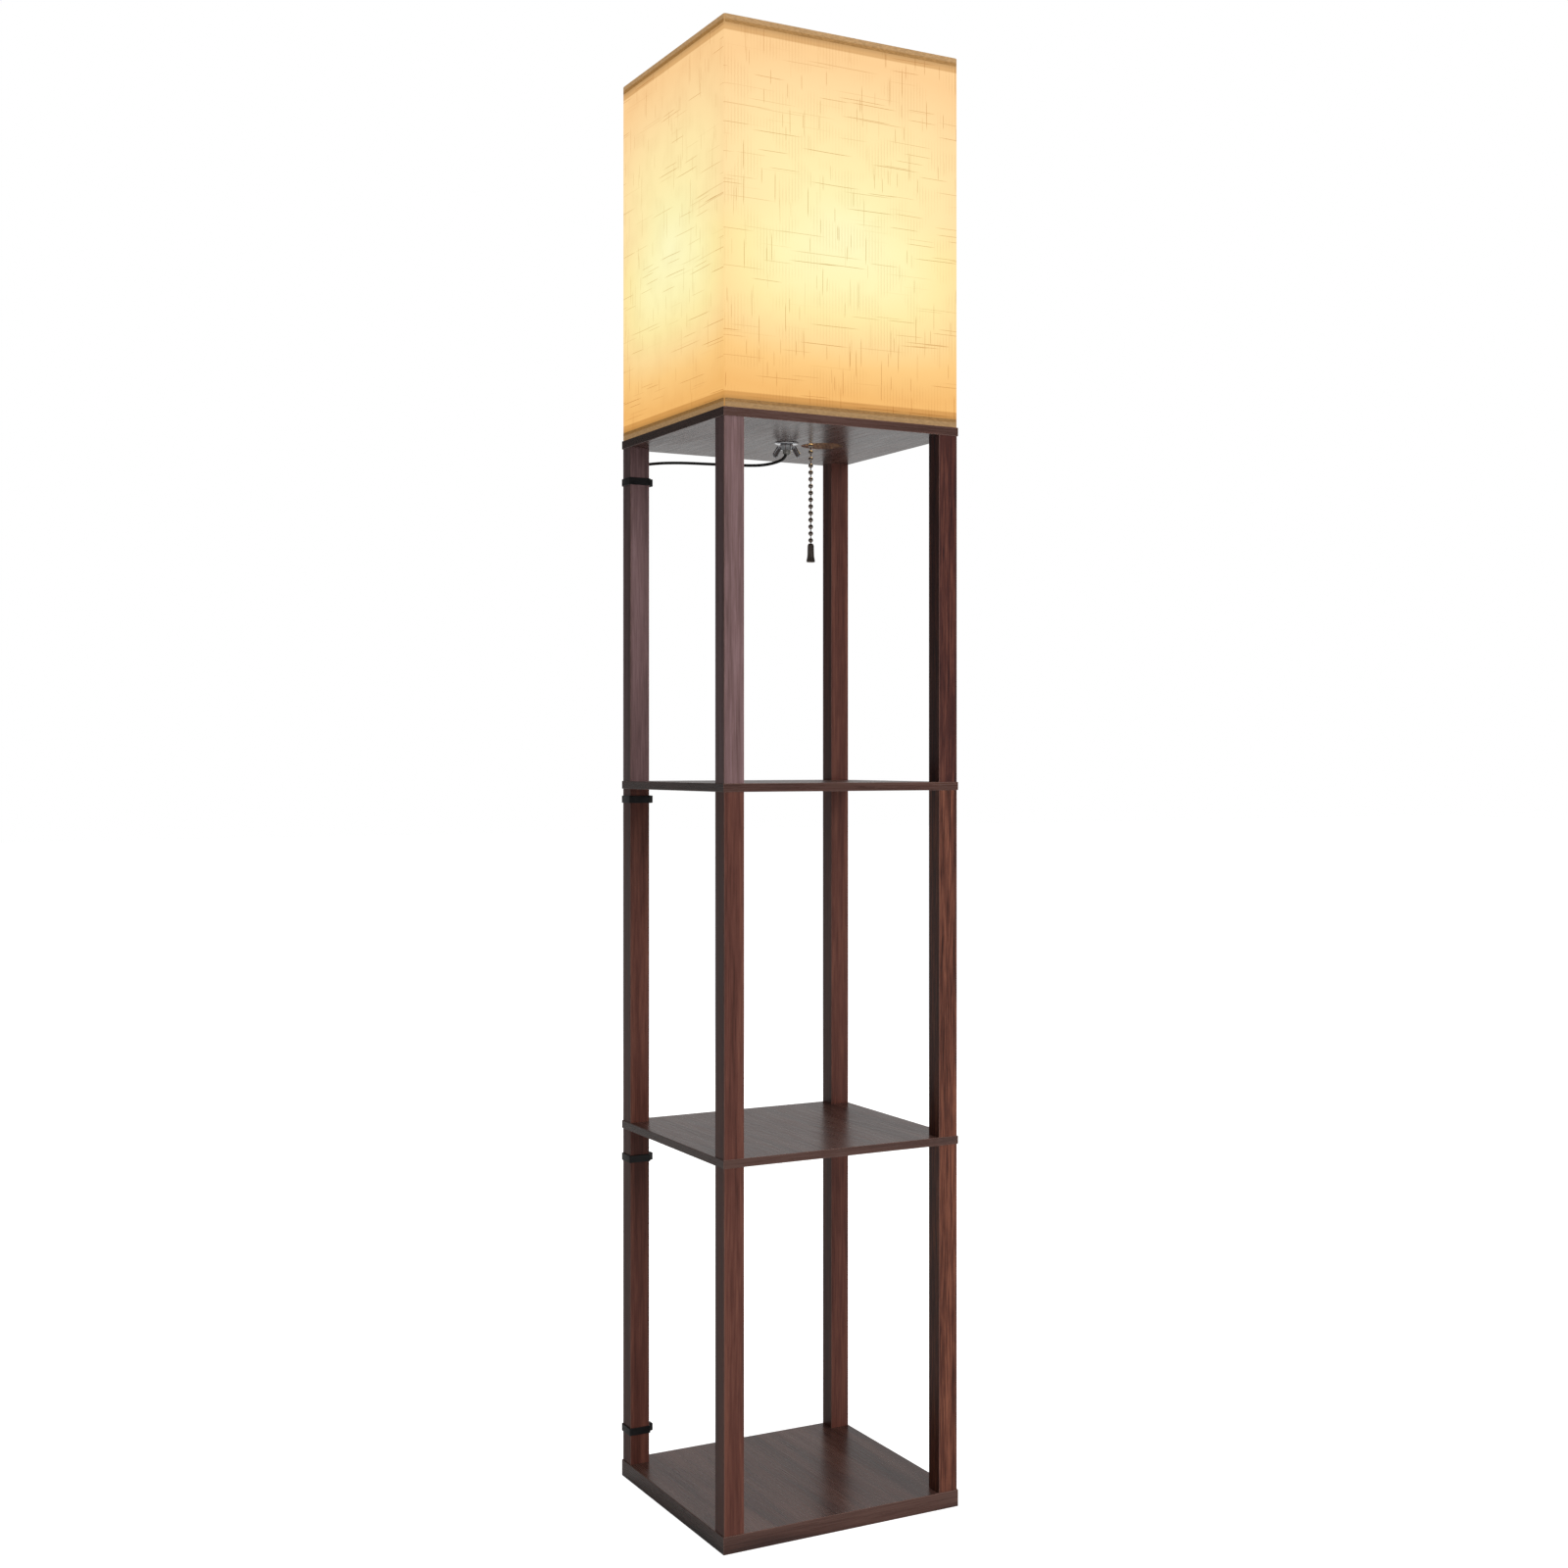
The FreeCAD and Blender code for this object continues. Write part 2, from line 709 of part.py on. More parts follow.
firstBall = linkBall - ballPitch
couplingCover, seatRadius = dim("couplingCover"), ballRadius + boreGap
couplingFoot = firstBall - couplingCover
seats = doc.addObject("Part::MultiFuse", "couplingSeats")
seats.Shapes = [ball("upperSeat", seatRadius, chainX, linkBall), ball("lowerSeat", seatRadius, chainX, firstBall)]
couplingLength = ballPitch + couplingCover * 2
couplingRadius = dim("couplingRadius")
barrel = turned("couplingBarrel", [(0, 0), (couplingRadius - bevel, 0), (couplingRadius, bevel),
                                   (couplingRadius, couplingLength - bevel), (couplingRadius - bevel, couplingLength),
                                   (0, couplingLength)], chainX, 0, couplingFoot)
coupling = doc.addObject("Part::Cut", "chainCoupling")
coupling.Base = barrel
coupling.Tool = seats
keep("chain_coupling", coupling)

ballCount = int(round(dim("ballCount").value))
lastBall = firstBall - ballPitch * (ballCount - 1)
chain = doc.addObject("Part::MultiFuse", "pullChain")
balls = [ball("ball%d" % k, ballRadius, chainX, firstBall - ballPitch * k) for k in range(ballCount)]
chain.Shapes = balls + [rod("chainWire", linkWire, lastBall, ballPitch * (ballCount - 1))]
keep("pull_chain", chain)

bellLip, bellRadius, bellHeight = dim("bellLip"), dim("bellRadius"), dim("bellHeight")
bellFoot = lastBall + ballRadius - dim("threadGap") + bellLip - bellHeight
lipFoot = bellHeight - bellLip
bellBore = ballRadius + boreGap
keep("pull_bell", turned("pullBell", [
    (linkWire + boreGap, bellHeight), (linkWire + boreGap, lipFoot), (bellBore, lipFoot),
    (bellBore, bellHeight * 0.2), (bellRadius - bevel, size(0)), (bellRadius, size(0)),
    (bellRadius, bellHeight * 0.12), (bellRadius * 0.8, bellHeight * 0.4), (bellRadius * 0.75, lipFoot - bevel),
    (bellRadius * 0.5, bellHeight)], chainX, 0, bellFoot))


# ------------------------------------------------------------------- bulb

bulbFoot = blockTop + contactHeight + bulbGap
bulbBase, bulbRadius = dim("bulbBase"), dim("bulbRadius")
keep("bulb_base", turned("bulbBaseBody", [(0, 0), (contactRadius, 0), (contactRadius + 1.5, size(1.6)),
                                          (bulbThread - 2, size(3.2)), (bulbThread, size(5)),
                                          (bulbThread, bulbBase), (0, bulbBase)], z=bulbFoot))


def bulbShape():
    # neck, a flank that swells tangent into the globe, and the crown
    foot = (bulbFoot + bulbBase).value
    r, length, neck = bulbRadius.value, dim("bulbLength").value, bulbThread.value - 0.4
    centre = V(0, 0, foot + length - r)
    shoulder = V(r * math.cos(math.radians(-38)), 0, centre.z + r * math.sin(math.radians(-38)))
    crown = V(0, 0, centre.z + r)
    globe = Part.Arc(shoulder, V(r * math.cos(math.radians(20)), 0, centre.z + r * math.sin(math.radians(20))),
                     crown).toShape()
    axisFoot, rim, neckTop = V(0, 0, foot), V(neck, 0, foot), V(neck, 0, foot + 8)
    inward = shoulder + V(math.sin(math.radians(-38)), 0, -math.cos(math.radians(-38))) * (r * 0.55)
    flank = Part.BezierCurve()
    flank.setPoles([shoulder, inward, neckTop + V(0, 0, 8), neckTop])
    lines = [Part.LineSegment(neckTop, rim).toShape(), Part.LineSegment(rim, axisFoot).toShape(),
             Part.LineSegment(axisFoot, crown).toShape()]
    face = Part.Face(Part.Wire([globe, flank.toShape()] + lines))
    return face.revolve(V(0, 0, 0), V(0, 0, 1), 360)


keep("bulb_glass", feature("bulbGlass", bulbShape()))


# ------------------------------------------------------------- cable ties

cordY = (half + dim("cordGap") + cordRadius).value      # the lead passes just clear of the boards' rear edges
cordX = -(half - postMid).value
tieThick, tieGap = dim("tieThick").value, dim("tieGap").value


def tieShape(level):
    # a strap round the post and the lead, with its head and cut end on the inner side
    low = (half - postInset).value
    near = low - postSide.value - tieGap
    far, left, right = low + tieGap, -low - tieGap, -near
    back = cordY + cordRadius.value + tieGap
    reach = cordRadius.value + dim("tieSlack").value
    inner = [V(left, near, 0), V(right, near, 0), V(right, far, 0), V(cordX + reach, back, 0),
             V(cordX - reach, back, 0), V(left, far, 0), V(left, near, 0)]
    loop = Part.makePolygon(inner)
    strap = Part.Face(loop.makeOffset2D(tieThick)).cut(Part.Face(loop))
    wide, tall = dim("tieWidth").value, dim("tieHeadTall").value
    band = strap.extrude(V(0, 0, wide))
    band.translate(V(0, 0, level - wide / 2))
    out, headWide = dim("tieHeadOut").value, dim("tieHeadWide").value
    headStart = near + dim("tieHeadPlace").value
    head = Part.makeBox(out, headWide, tall, V(right + tieThick * 0.5, headStart, level - tall / 2))
    edges = [edge for edge in head.Edges if edge.BoundBox.XMin > right + out * 0.9]
    head = head.makeFillet(tieThick * 0.6, edges)
    tail = Part.makeBox(out * 0.4, tieThick, wide * 0.7,
                        V(right + out * 0.55, headStart + headWide, level - wide * 0.35))
    return band.multiFuse([head, tail])


tieLevels = {"cable_tie_1": dim("tieHigh"), "cable_tie_2": dim("tieUpper"), "cable_tie_3": dim("tieLower"),
             "cable_tie_4": dim("tieFoot")}
for name, level in tieLevels.items():
    keep(name, feature(name.replace("_", ""), tieShape(level.value)))


# ------------------------------------------------------------------- lead

def roundedPath(points, label):
    # straight runs joined by tangent arcs, each as large as its two runs allow
    runs = [points[k + 1] - points[k] for k in range(len(points) - 1)]
    edges, radii, start = [], [], points[0]
    for k in range(1, len(points) - 1):
        before, after = V(runs[k - 1]), V(runs[k])
        reach = 0.45 * min(before.Length, after.Length)
        turn = before.getAngle(after)
        before.normalize()
        after.normalize()
        radius = reach / math.tan(turn / 2)
        radii.append(round(radius, 1))
        enter, leave = points[k] - before * reach, points[k] + after * reach
        inward = after - before
        inward.normalize()
        middle = points[k] + inward * (radius / math.cos(turn / 2) - radius)
        edges.append(Part.LineSegment(start, enter).toShape())
        edges.append(Part.Arc(enter, middle, leave).toShape())
        start = leave
    edges.append(Part.LineSegment(start, points[-1]).toShape())
    print(label, "arc radii", radii)
    return Part.Wire(edges)


def biarcEdges(p0, t0, p1, t1):
    # two circular arcs from p0 to p1, tangent to t0 and t1 and to each other
    span, tangents = p1 - p0, t0 + t1
    weight = 2 * (1 - t0.dot(t1))
    along = span.dot(tangents)
    if weight > 1e-9:
        reach = (-along + math.sqrt(along * along + weight * span.dot(span))) / weight
    else:
        reach = span.dot(span) / (2 * along)
    joint = (p0 + t0 * reach + p1 - t1 * reach) * 0.5
    edges = []
    for a, ta, b in ((p0, t0, joint), (joint, None, p1)):
        chord = b - a
        tangent = ta if ta is not None else jointTangent
        sagNormal = tangent - chord * (tangent.dot(chord) / chord.dot(chord))
        if sagNormal.Length < 1e-7:
            edges.append(Part.LineSegment(a, b).toShape())
            jointTangent = tangent
            continue
        angle = tangent.getAngle(chord)
        sagNormal.normalize()
        middle = (a + b) * 0.5 + sagNormal * (chord.Length / 2 * math.tan(angle / 2))
        edges.append(Part.Arc(a, middle, b).toShape())
        unit = V(chord)
        unit.normalize()
        jointTangent = unit * (2 * tangent.dot(unit)) - tangent
    return edges


def sweepTube(path, radius, label):
    edge = path.Edges[0]
    start = edge.valueAt(edge.FirstParameter)
    tangent = edge.tangentAt(edge.FirstParameter)
    section = Part.Wire([Part.makeCircle(radius, start, tangent)])
    shell = Part.BRepOffsetAPI.MakePipeShell(path)
    shell.add(section, False, False)
    shell.build()
    shell.makeSolid()
    solid = shell.shape()
    expected = math.pi * radius * radius * path.Length
    print(label, "length %.1f, volume %.1f of %.1f" % (path.Length, solid.Volume, expected))
    return solid


cordR = cordRadius.value
exitLevel = (tubeFoot + bushSink).value
lead = []
towards = V(cordX + 24.7, cordY - 15.5, 0)          # where the lead slips past the rear left post
span = towards.Length
towards.normalize()
# (distance from the tube's axis, level) of the droop towards that post
droop = [(0.0, exitLevel), (0.0, exitLevel - 4.7), (3.2, exitLevel - 10.3), (9.5, exitLevel - 13.3),
         (20.0, exitLevel - 15.6), (34.0, exitLevel - 16.8), (56.0, exitLevel - 15.6),
         (span - 73.0, exitLevel - 12.5), (span - 38.0, exitLevel - 9.3), (span - 15.0, exitLevel - 8.1),
         (span, exitLevel - 8.0)]
for reach, level in droop:
    lead.append(V(towards.x * reach, towards.y * reach, level))
postLow = tieLevels["cable_tie_4"].value
# round the rear of the post, down through the ties and out along the floor
lead += [V(cordX + 11.3, cordY + 4.6, exitLevel - 8.6), V(cordX + 1.6, cordY + 3.6, exitLevel - 14.8),
         V(cordX, cordY, exitLevel - 24.5),
         V(cordX + 0.6, cordY, tieLevels["cable_tie_2"].value),
         V(cordX - 0.3, cordY, tieLevels["cable_tie_3"].value),
         V(cordX + 0.2, cordY, postLow - 13.0),
         V(cordX + 0.8, cordY + 0.6, postLow - 28.0),
         V(cordX + 3.8, cordY + 3.0, postLow - 43.0),
         V(cordX + 15.0, cordY + 8.6, cordR + 0.9)]
hankMid = cordY - cordR + dim("hankTurn").value + dim("hankPitch").value / 2 + cordR
hankX, hankRun = dim("hankX").value, dim("hankRun").value
pitch, turnRadius, waist = dim("hankPitch").value, dim("hankTurn").value, dim("hankWaist").value
floorLevel = cordR + 0.05
wrapThick, wrapWidth, wrapGap = dim("wrapThick").value, dim("wrapWidth").value, dim("wrapGap").value
waistLift = wrapThick + wrapGap - 0.05              # the runs ride over the wrap that holds them
enterX = hankX - hankRun / 2 - 2 * cordR
farSide = hankMid + turnRadius + pitch
lead += [V(enterX - 24.0, farSide - 7.9, floorLevel + 0.1), V(enterX - 8.0, farSide, floorLevel),
         V(enterX, farSide, floorLevel)]
keep("cord_lead", feature("cordLead", sweepTube(roundedPath(lead, "lead"), cordR, "lead")))


def hankPath():
    # five runs spiral in and out again; the third climbs a layer as the spiral turns back
    side = [1, -1, 1, -1, 1]
    offset = [turnRadius + pitch, turnRadius + pitch / 2, turnRadius, turnRadius + pitch / 2, turnRadius + pitch]
    middle = [waist + pitch, waist, waist, waist, waist + pitch]
    layer = [0, 0, None, 1, 1]
    knots = []          # (point, tangent)
    lift = pitch
    for k in range(5):
        heading = 1 if k % 2 == 0 else -1
        ends = (-heading * hankRun / 2, heading * hankRun / 2)
        low = floorLevel + (layer[k] or 0) * lift
        for part, x in enumerate((ends[0], 0.0, ends[1])):
            wide = middle[k] if part == 1 else offset[k]
            climb = lift * part / 2 if layer[k] is None else 0
            climb += waistLift if part == 1 else 0
            slope = 1.5 * lift / hankRun if layer[k] is None and part == 1 else 0
            tangent = V(heading, 0, slope)
            tangent.normalize()
            knots.append((V(hankX + x, hankMid + side[k] * wide, low + climb), tangent))
        if k < 4:
            nextWide = offset[k + 1]
            across = (side[k] * offset[k] + side[k + 1] * nextWide) / 2
            radius = (offset[k] + nextWide) / 2
            level = floorLevel + (lift if k > 1 else 0)
            knots.append((V(hankX + heading * (hankRun / 2 + radius), hankMid + across, level),
                          V(0, -side[k], 0)))
    edges = [Part.LineSegment(knots[0][0] - V(2 * cordR, 0, 0), knots[0][0]).toShape()]
    for (p0, t0), (p1, t1) in zip(knots, knots[1:]):
        edges += biarcEdges(p0, t0, p1, t1)
    edges.append(Part.LineSegment(knots[-1][0], knots[-1][0] + V(2 * cordR, 0, 0)).toShape())
    return Part.Wire(edges)


def leastGap(path, diameter):
    points = path.discretize(Distance=1.0)
    apart = int(round(4 * diameter))
    least = min((a - b).Length for k, a in enumerate(points) for b in points[k + apart:])
    return least - diameter


hank = hankPath()
print("hank least gap %.2f" % leastGap(hank, 2 * cordR))
keep("cord_hank", feature("cordHank", sweepTube(hank, cordR, "hank")))

hankEnd = hank.Edges[-1].Vertexes[-1].Point
plugX, plugY = dim("plugX").value, dim("plugY").value
plugLength, plugWidth, plugThick = dim("plugLength").value, dim("plugWidth").value, dim("plugThick").value
reliefLength, reliefRadius = dim("reliefLength").value, dim("reliefRadius").value
plugLevel = plugThick / 2
reliefStart = plugX - reliefLength
tail = [hankEnd, hankEnd + V(11.0, 0, 0), V(reliefStart - 11.0, plugY, plugLevel), V(reliefStart, plugY, plugLevel)]
keep("cord_tail", feature("cordTail", sweepTube(roundedPath(tail, "tail"), cordR, "tail")))

# the hank's tie is a flat wrap right round its waist
waistNear = hankMid - waist - cordR - wrapGap
waistFar = hankMid + waist + pitch + cordR + wrapGap
waistTop = floorLevel + waistLift + pitch + cordR + wrapGap
wrapStart = hankX - wrapWidth / 2
waistLoop = Part.makePolygon([V(wrapStart, waistNear, wrapThick), V(wrapStart, waistFar, wrapThick),
                              V(wrapStart, waistFar, waistTop), V(wrapStart, waistNear, waistTop),
                              V(wrapStart, waistNear, wrapThick)])
wrapFace = Part.Face(waistLoop.makeOffset2D(wrapThick)).cut(Part.Face(waistLoop))
keep("hank_tie", feature("hankTie", wrapFace.extrude(V(wrapWidth, 0, 0))))

plugBody = newBody("plugBody")
plugSketch = newSketch(plugBody)
drawPolygon(plugSketch, [(0, dim("plugWidth") * -0.32), (dim("plugLength") * 0.3, dim("plugWidth") * -0.5),
                         (dim("plugLength"), dim("plugWidth") * -0.5), (dim("plugLength"), dim("plugWidth") * 0.5),
                         (dim("plugLength") * 0.3, dim("plugWidth") * 0.5), (0, dim("plugWidth") * 0.32)])
plugPad = pad(plugBody, plugSketch, dim("plugThick"))
fillet(plugBody, plugPad, dim("plugRound"), lambda edge: upright(edge) or edge.BoundBox.ZMin > plugThick * 0.9)
put(plugBody, dim("plugX"), dim("plugY"), 0)
keep("plug_body", plugBody)

relief = Part.makeCone(cordR + 0.7, reliefRadius, reliefLength, V(reliefStart, plugY, plugLevel), V(1, 0, 0))
keep("plug_relief", feature("plugRelief", relief))
bladeLength, bladeWidth, bladeThick = dim("bladeLength").value, dim("bladeWidth").value, dim("bladeThick").value
blades = []
for sign in (-1, 1):
    blade = Part.makeBox(bladeLength, bladeThick, bladeWidth,
                         V(plugX + plugLength, plugY + sign * dim("bladeSpacing").value / 2 - bladeThick / 2,
                           plugLevel - bladeWidth / 2))
    tips = [edge for edge in blade.Edges if edge.BoundBox.XMin > plugX + plugLength + bladeLength - 0.01
            and edge.BoundBox.YLength > bladeThick * 0.9]
    blades.append(blade.makeFillet(bladeWidth * 0.3, tips))
keep("plug_blades", feature("plugBlades", Part.makeCompound(blades)))


# ----------------------------------------------------------------- output

doc.recompute()
for obj in doc.Objects:
    if "Invalid" in obj.State or "Error" in obj.State:
        raise RuntimeError("failed object " + obj.Label + " " + str(obj.State))
for name, obj in nodes.items():
    if obj.Shape.isNull() or not obj.Shape.isValid() or obj.Shape.Volume <= 0:
        raise RuntimeError("bad shape " + name)

os.makedirs("parts", exist_ok=True)
for name, obj in nodes.items():
    obj.Shape.exportStep("parts/" + name + ".step")
print(len(nodes), "sub-parts")
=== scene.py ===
import math
import bmesh
import bpy
import numpy as np
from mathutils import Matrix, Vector


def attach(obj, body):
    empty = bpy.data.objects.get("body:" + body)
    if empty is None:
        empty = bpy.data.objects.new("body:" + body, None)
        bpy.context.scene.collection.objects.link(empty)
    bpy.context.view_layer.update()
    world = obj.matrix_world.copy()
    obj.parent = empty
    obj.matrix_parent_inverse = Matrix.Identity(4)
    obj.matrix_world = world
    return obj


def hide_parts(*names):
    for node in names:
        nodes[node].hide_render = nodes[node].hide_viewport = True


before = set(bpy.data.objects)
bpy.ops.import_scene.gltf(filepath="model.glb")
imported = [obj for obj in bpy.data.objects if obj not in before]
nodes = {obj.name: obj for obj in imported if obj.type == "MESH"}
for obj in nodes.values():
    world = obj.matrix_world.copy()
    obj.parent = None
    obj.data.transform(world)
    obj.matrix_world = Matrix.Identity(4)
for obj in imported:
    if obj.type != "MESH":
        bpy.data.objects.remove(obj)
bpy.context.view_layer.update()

# The shelf floor lamp, dressed. Metres, +Z up, the front is -Y and the left is -X.
# Each piece replaces or covers a node of the frame and stays where that node is.

scene = bpy.context.scene


def linear(hexText):
    # sRGB hex to linear light
    channels = [int(hexText[k:k + 2], 16) / 255 for k in (0, 2, 4)]
    return [c / 12.92 if c <= 0.04045 else ((c + 0.055) / 1.055) ** 2.4 for c in channels] + [1.0]


def startMaterial(name):
    material = bpy.data.materials.new(name)
    material.use_nodes = True
    material.node_tree.nodes.clear()
    return material, material.node_tree


def addNode(tree, kind, sockets=None, stops=(), **settings):
    # one node with its settings, what is set on it or linked into it, and a ramp's (place, sRGB hex) stops
    made = tree.nodes.new("ShaderNode" + kind)
    for name, value in settings.items():
        setattr(made, name, value)
    for key, value in (sockets or {}).items():
        if isinstance(value, bpy.types.Node):
            value = [output for output in value.outputs if output.enabled][0]
        if isinstance(value, bpy.types.NodeSocket):
            tree.links.new(value, made.inputs[key])
        else:
            made.inputs[key].default_value = value
    if stops:
        line = made.color_ramp.elements
        while len(line) < len(stops):
            line.new(0.5)
        for element, (spot, colour) in zip(line, stops):
            element.position, element.color = spot, linear(colour)
    return made


# shapes

def gridFaces(rows, columns, closeRows, closeColumns):
    # quads between neighbouring rows and columns of a grid of points, as one array
    r = np.arange(rows if closeRows else rows - 1)
    c = np.arange(columns if closeColumns else columns - 1)
    i, j = np.meshgrid(r, c, indexing="ij")
    nextI, nextJ = (i + 1) % rows, (j + 1) % columns
    corners = [i * columns + j, nextI * columns + j, nextI * columns + nextJ, i * columns + nextJ]
    return np.stack(corners, axis=-1).reshape(-1, 4)


def gridPart(points, closeRows=False, closeColumns=True):
    # a part is (vertices, faces); here the vertices are a grid of rows and columns
    rows, columns = points.shape[:2]
    return points.reshape(-1, 3), gridFaces(rows, columns, closeRows, closeColumns)


def lathePart(profile, x=0.0, y=0.0, z=0.0, around=48, closed=True):
    # each (radius, height) of the profile is turned round the vertical line at x, y
    profile = np.asarray(profile, float)
    angle = np.linspace(0, 2 * math.pi, around, endpoint=False)
    radius, height = profile[:, :1], profile[:, 1:]
    points = np.stack([x + radius * np.cos(angle), y + radius * np.sin(angle), z + height + 0 * angle], axis=-1)
    return gridPart(points, closeRows=closed)


def threadPart(outer, depth, pitch, inner, low, high, around=36, perPitch=6, roundness=0.0):
    # the wall's radius falls by depth between crests that climb one pitch a turn, and the bore closes it
    rows = max(3, int((high - low) / pitch * perPitch))
    height = np.linspace(low, high, rows)[:, None]
    angle = np.linspace(0, 2 * math.pi, around, endpoint=False)[None, :]
    phase = (height / pitch - angle / (2 * math.pi)) % 1.0
    sharp = np.abs(2 * phase - 1)
    smooth = 0.5 + 0.5 * np.cos(2 * math.pi * phase)
    wall = outer - depth * (1 - (sharp * (1 - roundness) + smooth * roundness))
    wall = np.vstack([wall, np.full((2, around), inner)])
    level = np.vstack([height + 0 * angle, np.full((1, around), high), np.full((1, around), low)])
    turn = angle + 0 * wall
    return gridPart(np.stack([wall * np.cos(turn), wall * np.sin(turn), level], axis=-1), closeRows=True)


def ballParts(centres, radius, around=16, rings=10):
    # one ball's (polar angle, turn) grid, set down at each centre
    polar = np.linspace(0, math.pi, rings)[:, None]
    turn = np.linspace(0, 2 * math.pi, around, endpoint=False)[None, :]
    ball = np.stack([np.sin(polar) * np.cos(turn), np.sin(polar) * np.sin(turn), np.cos(polar) + 0 * turn], axis=-1)
    return [gridPart(ball * radius + np.asarray(centre, float)) for centre in centres]


def roundedLoop(corners, radius, steps=6):
    # a closed anticlockwise outline with round corners, and its outward directions: each corner's
    # arc turns evenly from one side's outward direction to the next side's
    corners = np.asarray(corners, float)
    before = corners - np.roll(corners, 1, axis=0)
    after = np.roll(before, -1, axis=0)
    start = np.arctan2(-before[:, 0], before[:, 1])
    turn = (np.arctan2(-after[:, 0], after[:, 1]) - start + math.pi) % (2 * math.pi) - math.pi
    angles = start[:, None] + turn[:, None] * np.linspace(0, 1, steps)
    out = np.stack([np.cos(angles), np.sin(angles)], axis=-1)
    middle = start + turn / 2
    inward = np.stack([np.cos(middle), np.sin(middle)], axis=-1) * (radius / np.cos(turn / 2))[:, None]
    points = (corners - inward)[:, None] + out * radius
    return points.reshape(-1, 2), out.reshape(-1, 2)


def sleevePart(loop, out, section, closeSection=True):
    # a (distance outwards, height) section carried round a loop in the horizontal plane
    section = np.asarray(section, float)
    flat = loop[:, None, :] + out[:, None, :] * section[None, :, :1]
    height = np.broadcast_to(section[None, :, 1:], flat.shape[:2] + (1,))
    return gridPart(np.concatenate([flat, height], axis=-1), closeRows=True, closeColumns=closeSection)


def prismPart(outline, low, high, place):
    # an outline pushed straight from low to high; place turns (a, b, depth) into x, y, z
    outline = np.asarray(outline, float)
    count = len(outline)
    both = np.vstack([np.column_stack([outline, np.full(count, level)]) for level in (low, high)])
    k = np.arange(count)
    sides = np.stack([k, (k + 1) % count, (k + 1) % count + count, k + count], axis=-1).tolist()
    return place(both), sides + [list(range(count))[::-1], list(range(count, 2 * count))]


def tubePart(line, radius, closed=False, around=12):
    # a circle carried along a line of points; its frame turns with the line's direction
    line = np.asarray(line, float)
    if closed:
        along = np.roll(line, -1, axis=0) - np.roll(line, 1, axis=0)
    else:
        along = np.gradient(line, axis=0)
    along /= np.linalg.norm(along, axis=1, keepdims=True)
    guide = np.where(np.abs(along[:, 2:]) > 0.9, [[1.0, 0, 0]], [[0, 0, 1.0]])
    side = np.cross(along, guide)
    side /= np.linalg.norm(side, axis=1, keepdims=True)
    up = np.cross(side, along)
    turn = np.linspace(0, 2 * math.pi, around, endpoint=False)[None, :, None]
    radius = np.broadcast_to(np.asarray(radius, float), (len(line),))[:, None, None]
    ring = line[:, None] + radius * (side[:, None] * np.cos(turn) + up[:, None] * np.sin(turn))
    if closed:
        return gridPart(ring, closeRows=True)
    ends = [np.repeat(line[k][None, None], around, axis=1) for k in (0, -1)]
    return gridPart(np.concatenate([ends[0], ring, ends[1]], axis=0))


def makePiece(name, parts, material, body, replaced=(), sharpAngle=35, bevel=0.0, uv=None):
    # joins the parts into one mesh, closes poles, turns faces outwards and places the piece
    count, vertices, faces = 0, [], []
    for points, quads in parts:
        vertices.append(points)
        faces += [[int(k) + count for k in quad] for quad in quads]
        count += len(points)
    mesh = bpy.data.meshes.new(name)
    mesh.from_pydata(np.vstack(vertices), [], faces)
    if uv is not None:
        layer = mesh.uv_layers.new(name="flat")
        corner = np.empty(len(mesh.loops), np.int32)
        mesh.loops.foreach_get("vertex_index", corner)
        layer.data.foreach_set("uv", uv(mesh, corner).astype(np.float32).ravel())
    work = bmesh.new()
    work.from_mesh(mesh)
    bmesh.ops.remove_doubles(work, verts=work.verts, dist=1e-6)
    bmesh.ops.dissolve_degenerate(work, edges=work.edges, dist=1e-7)
    bmesh.ops.recalc_face_normals(work, faces=work.faces)
    work.to_mesh(mesh)
    work.free()
    mesh.polygons.foreach_set("use_smooth", [True] * len(mesh.polygons))
    mesh.set_sharp_from_angle(angle=math.radians(sharpAngle))
    mesh.materials.append(material)
    piece = bpy.data.objects.new(name, mesh)
    scene.collection.objects.link(piece)
    if bevel:
        rounding = piece.modifiers.new("rounding", "BEVEL")
        rounding.width = bevel
        rounding.segments = 3
        rounding.limit_method = "ANGLE"
        rounding.angle_limit = math.radians(40)
        rounding.harden_normals = True
    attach(piece, body)
    if replaced:
        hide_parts(*replaced)
    return piece


def coat(names, material):
    # a node whose shape is right keeps it and takes the material
    for name in names:
        for slot in nodes[name].material_slots:
            slot.material = material


# camera, floor and light

view = {
    "place": (-1.0390, -2.1253, 0.8266),
    "turn": -30.56,         # degrees from looking along +Y
    "lens": 47.95,          # millimetres on a 36 mm sensor
    "shiftX": -0.1066,
    "shiftY": -0.0164,
}
cameraData = bpy.data.cameras.new("camera")
cameraData.lens = view["lens"]
cameraData.sensor_width = 36.0
cameraData.shift_x = view["shiftX"]
cameraData.shift_y = view["shiftY"]
camera = bpy.data.objects.new("camera", cameraData)
camera.location = view["place"]
camera.rotation_euler = (math.radians(90), 0, math.radians(view["turn"]))
scene.collection.objects.link(camera)
scene.camera = camera
scene.view_settings.view_transform = "Standard"

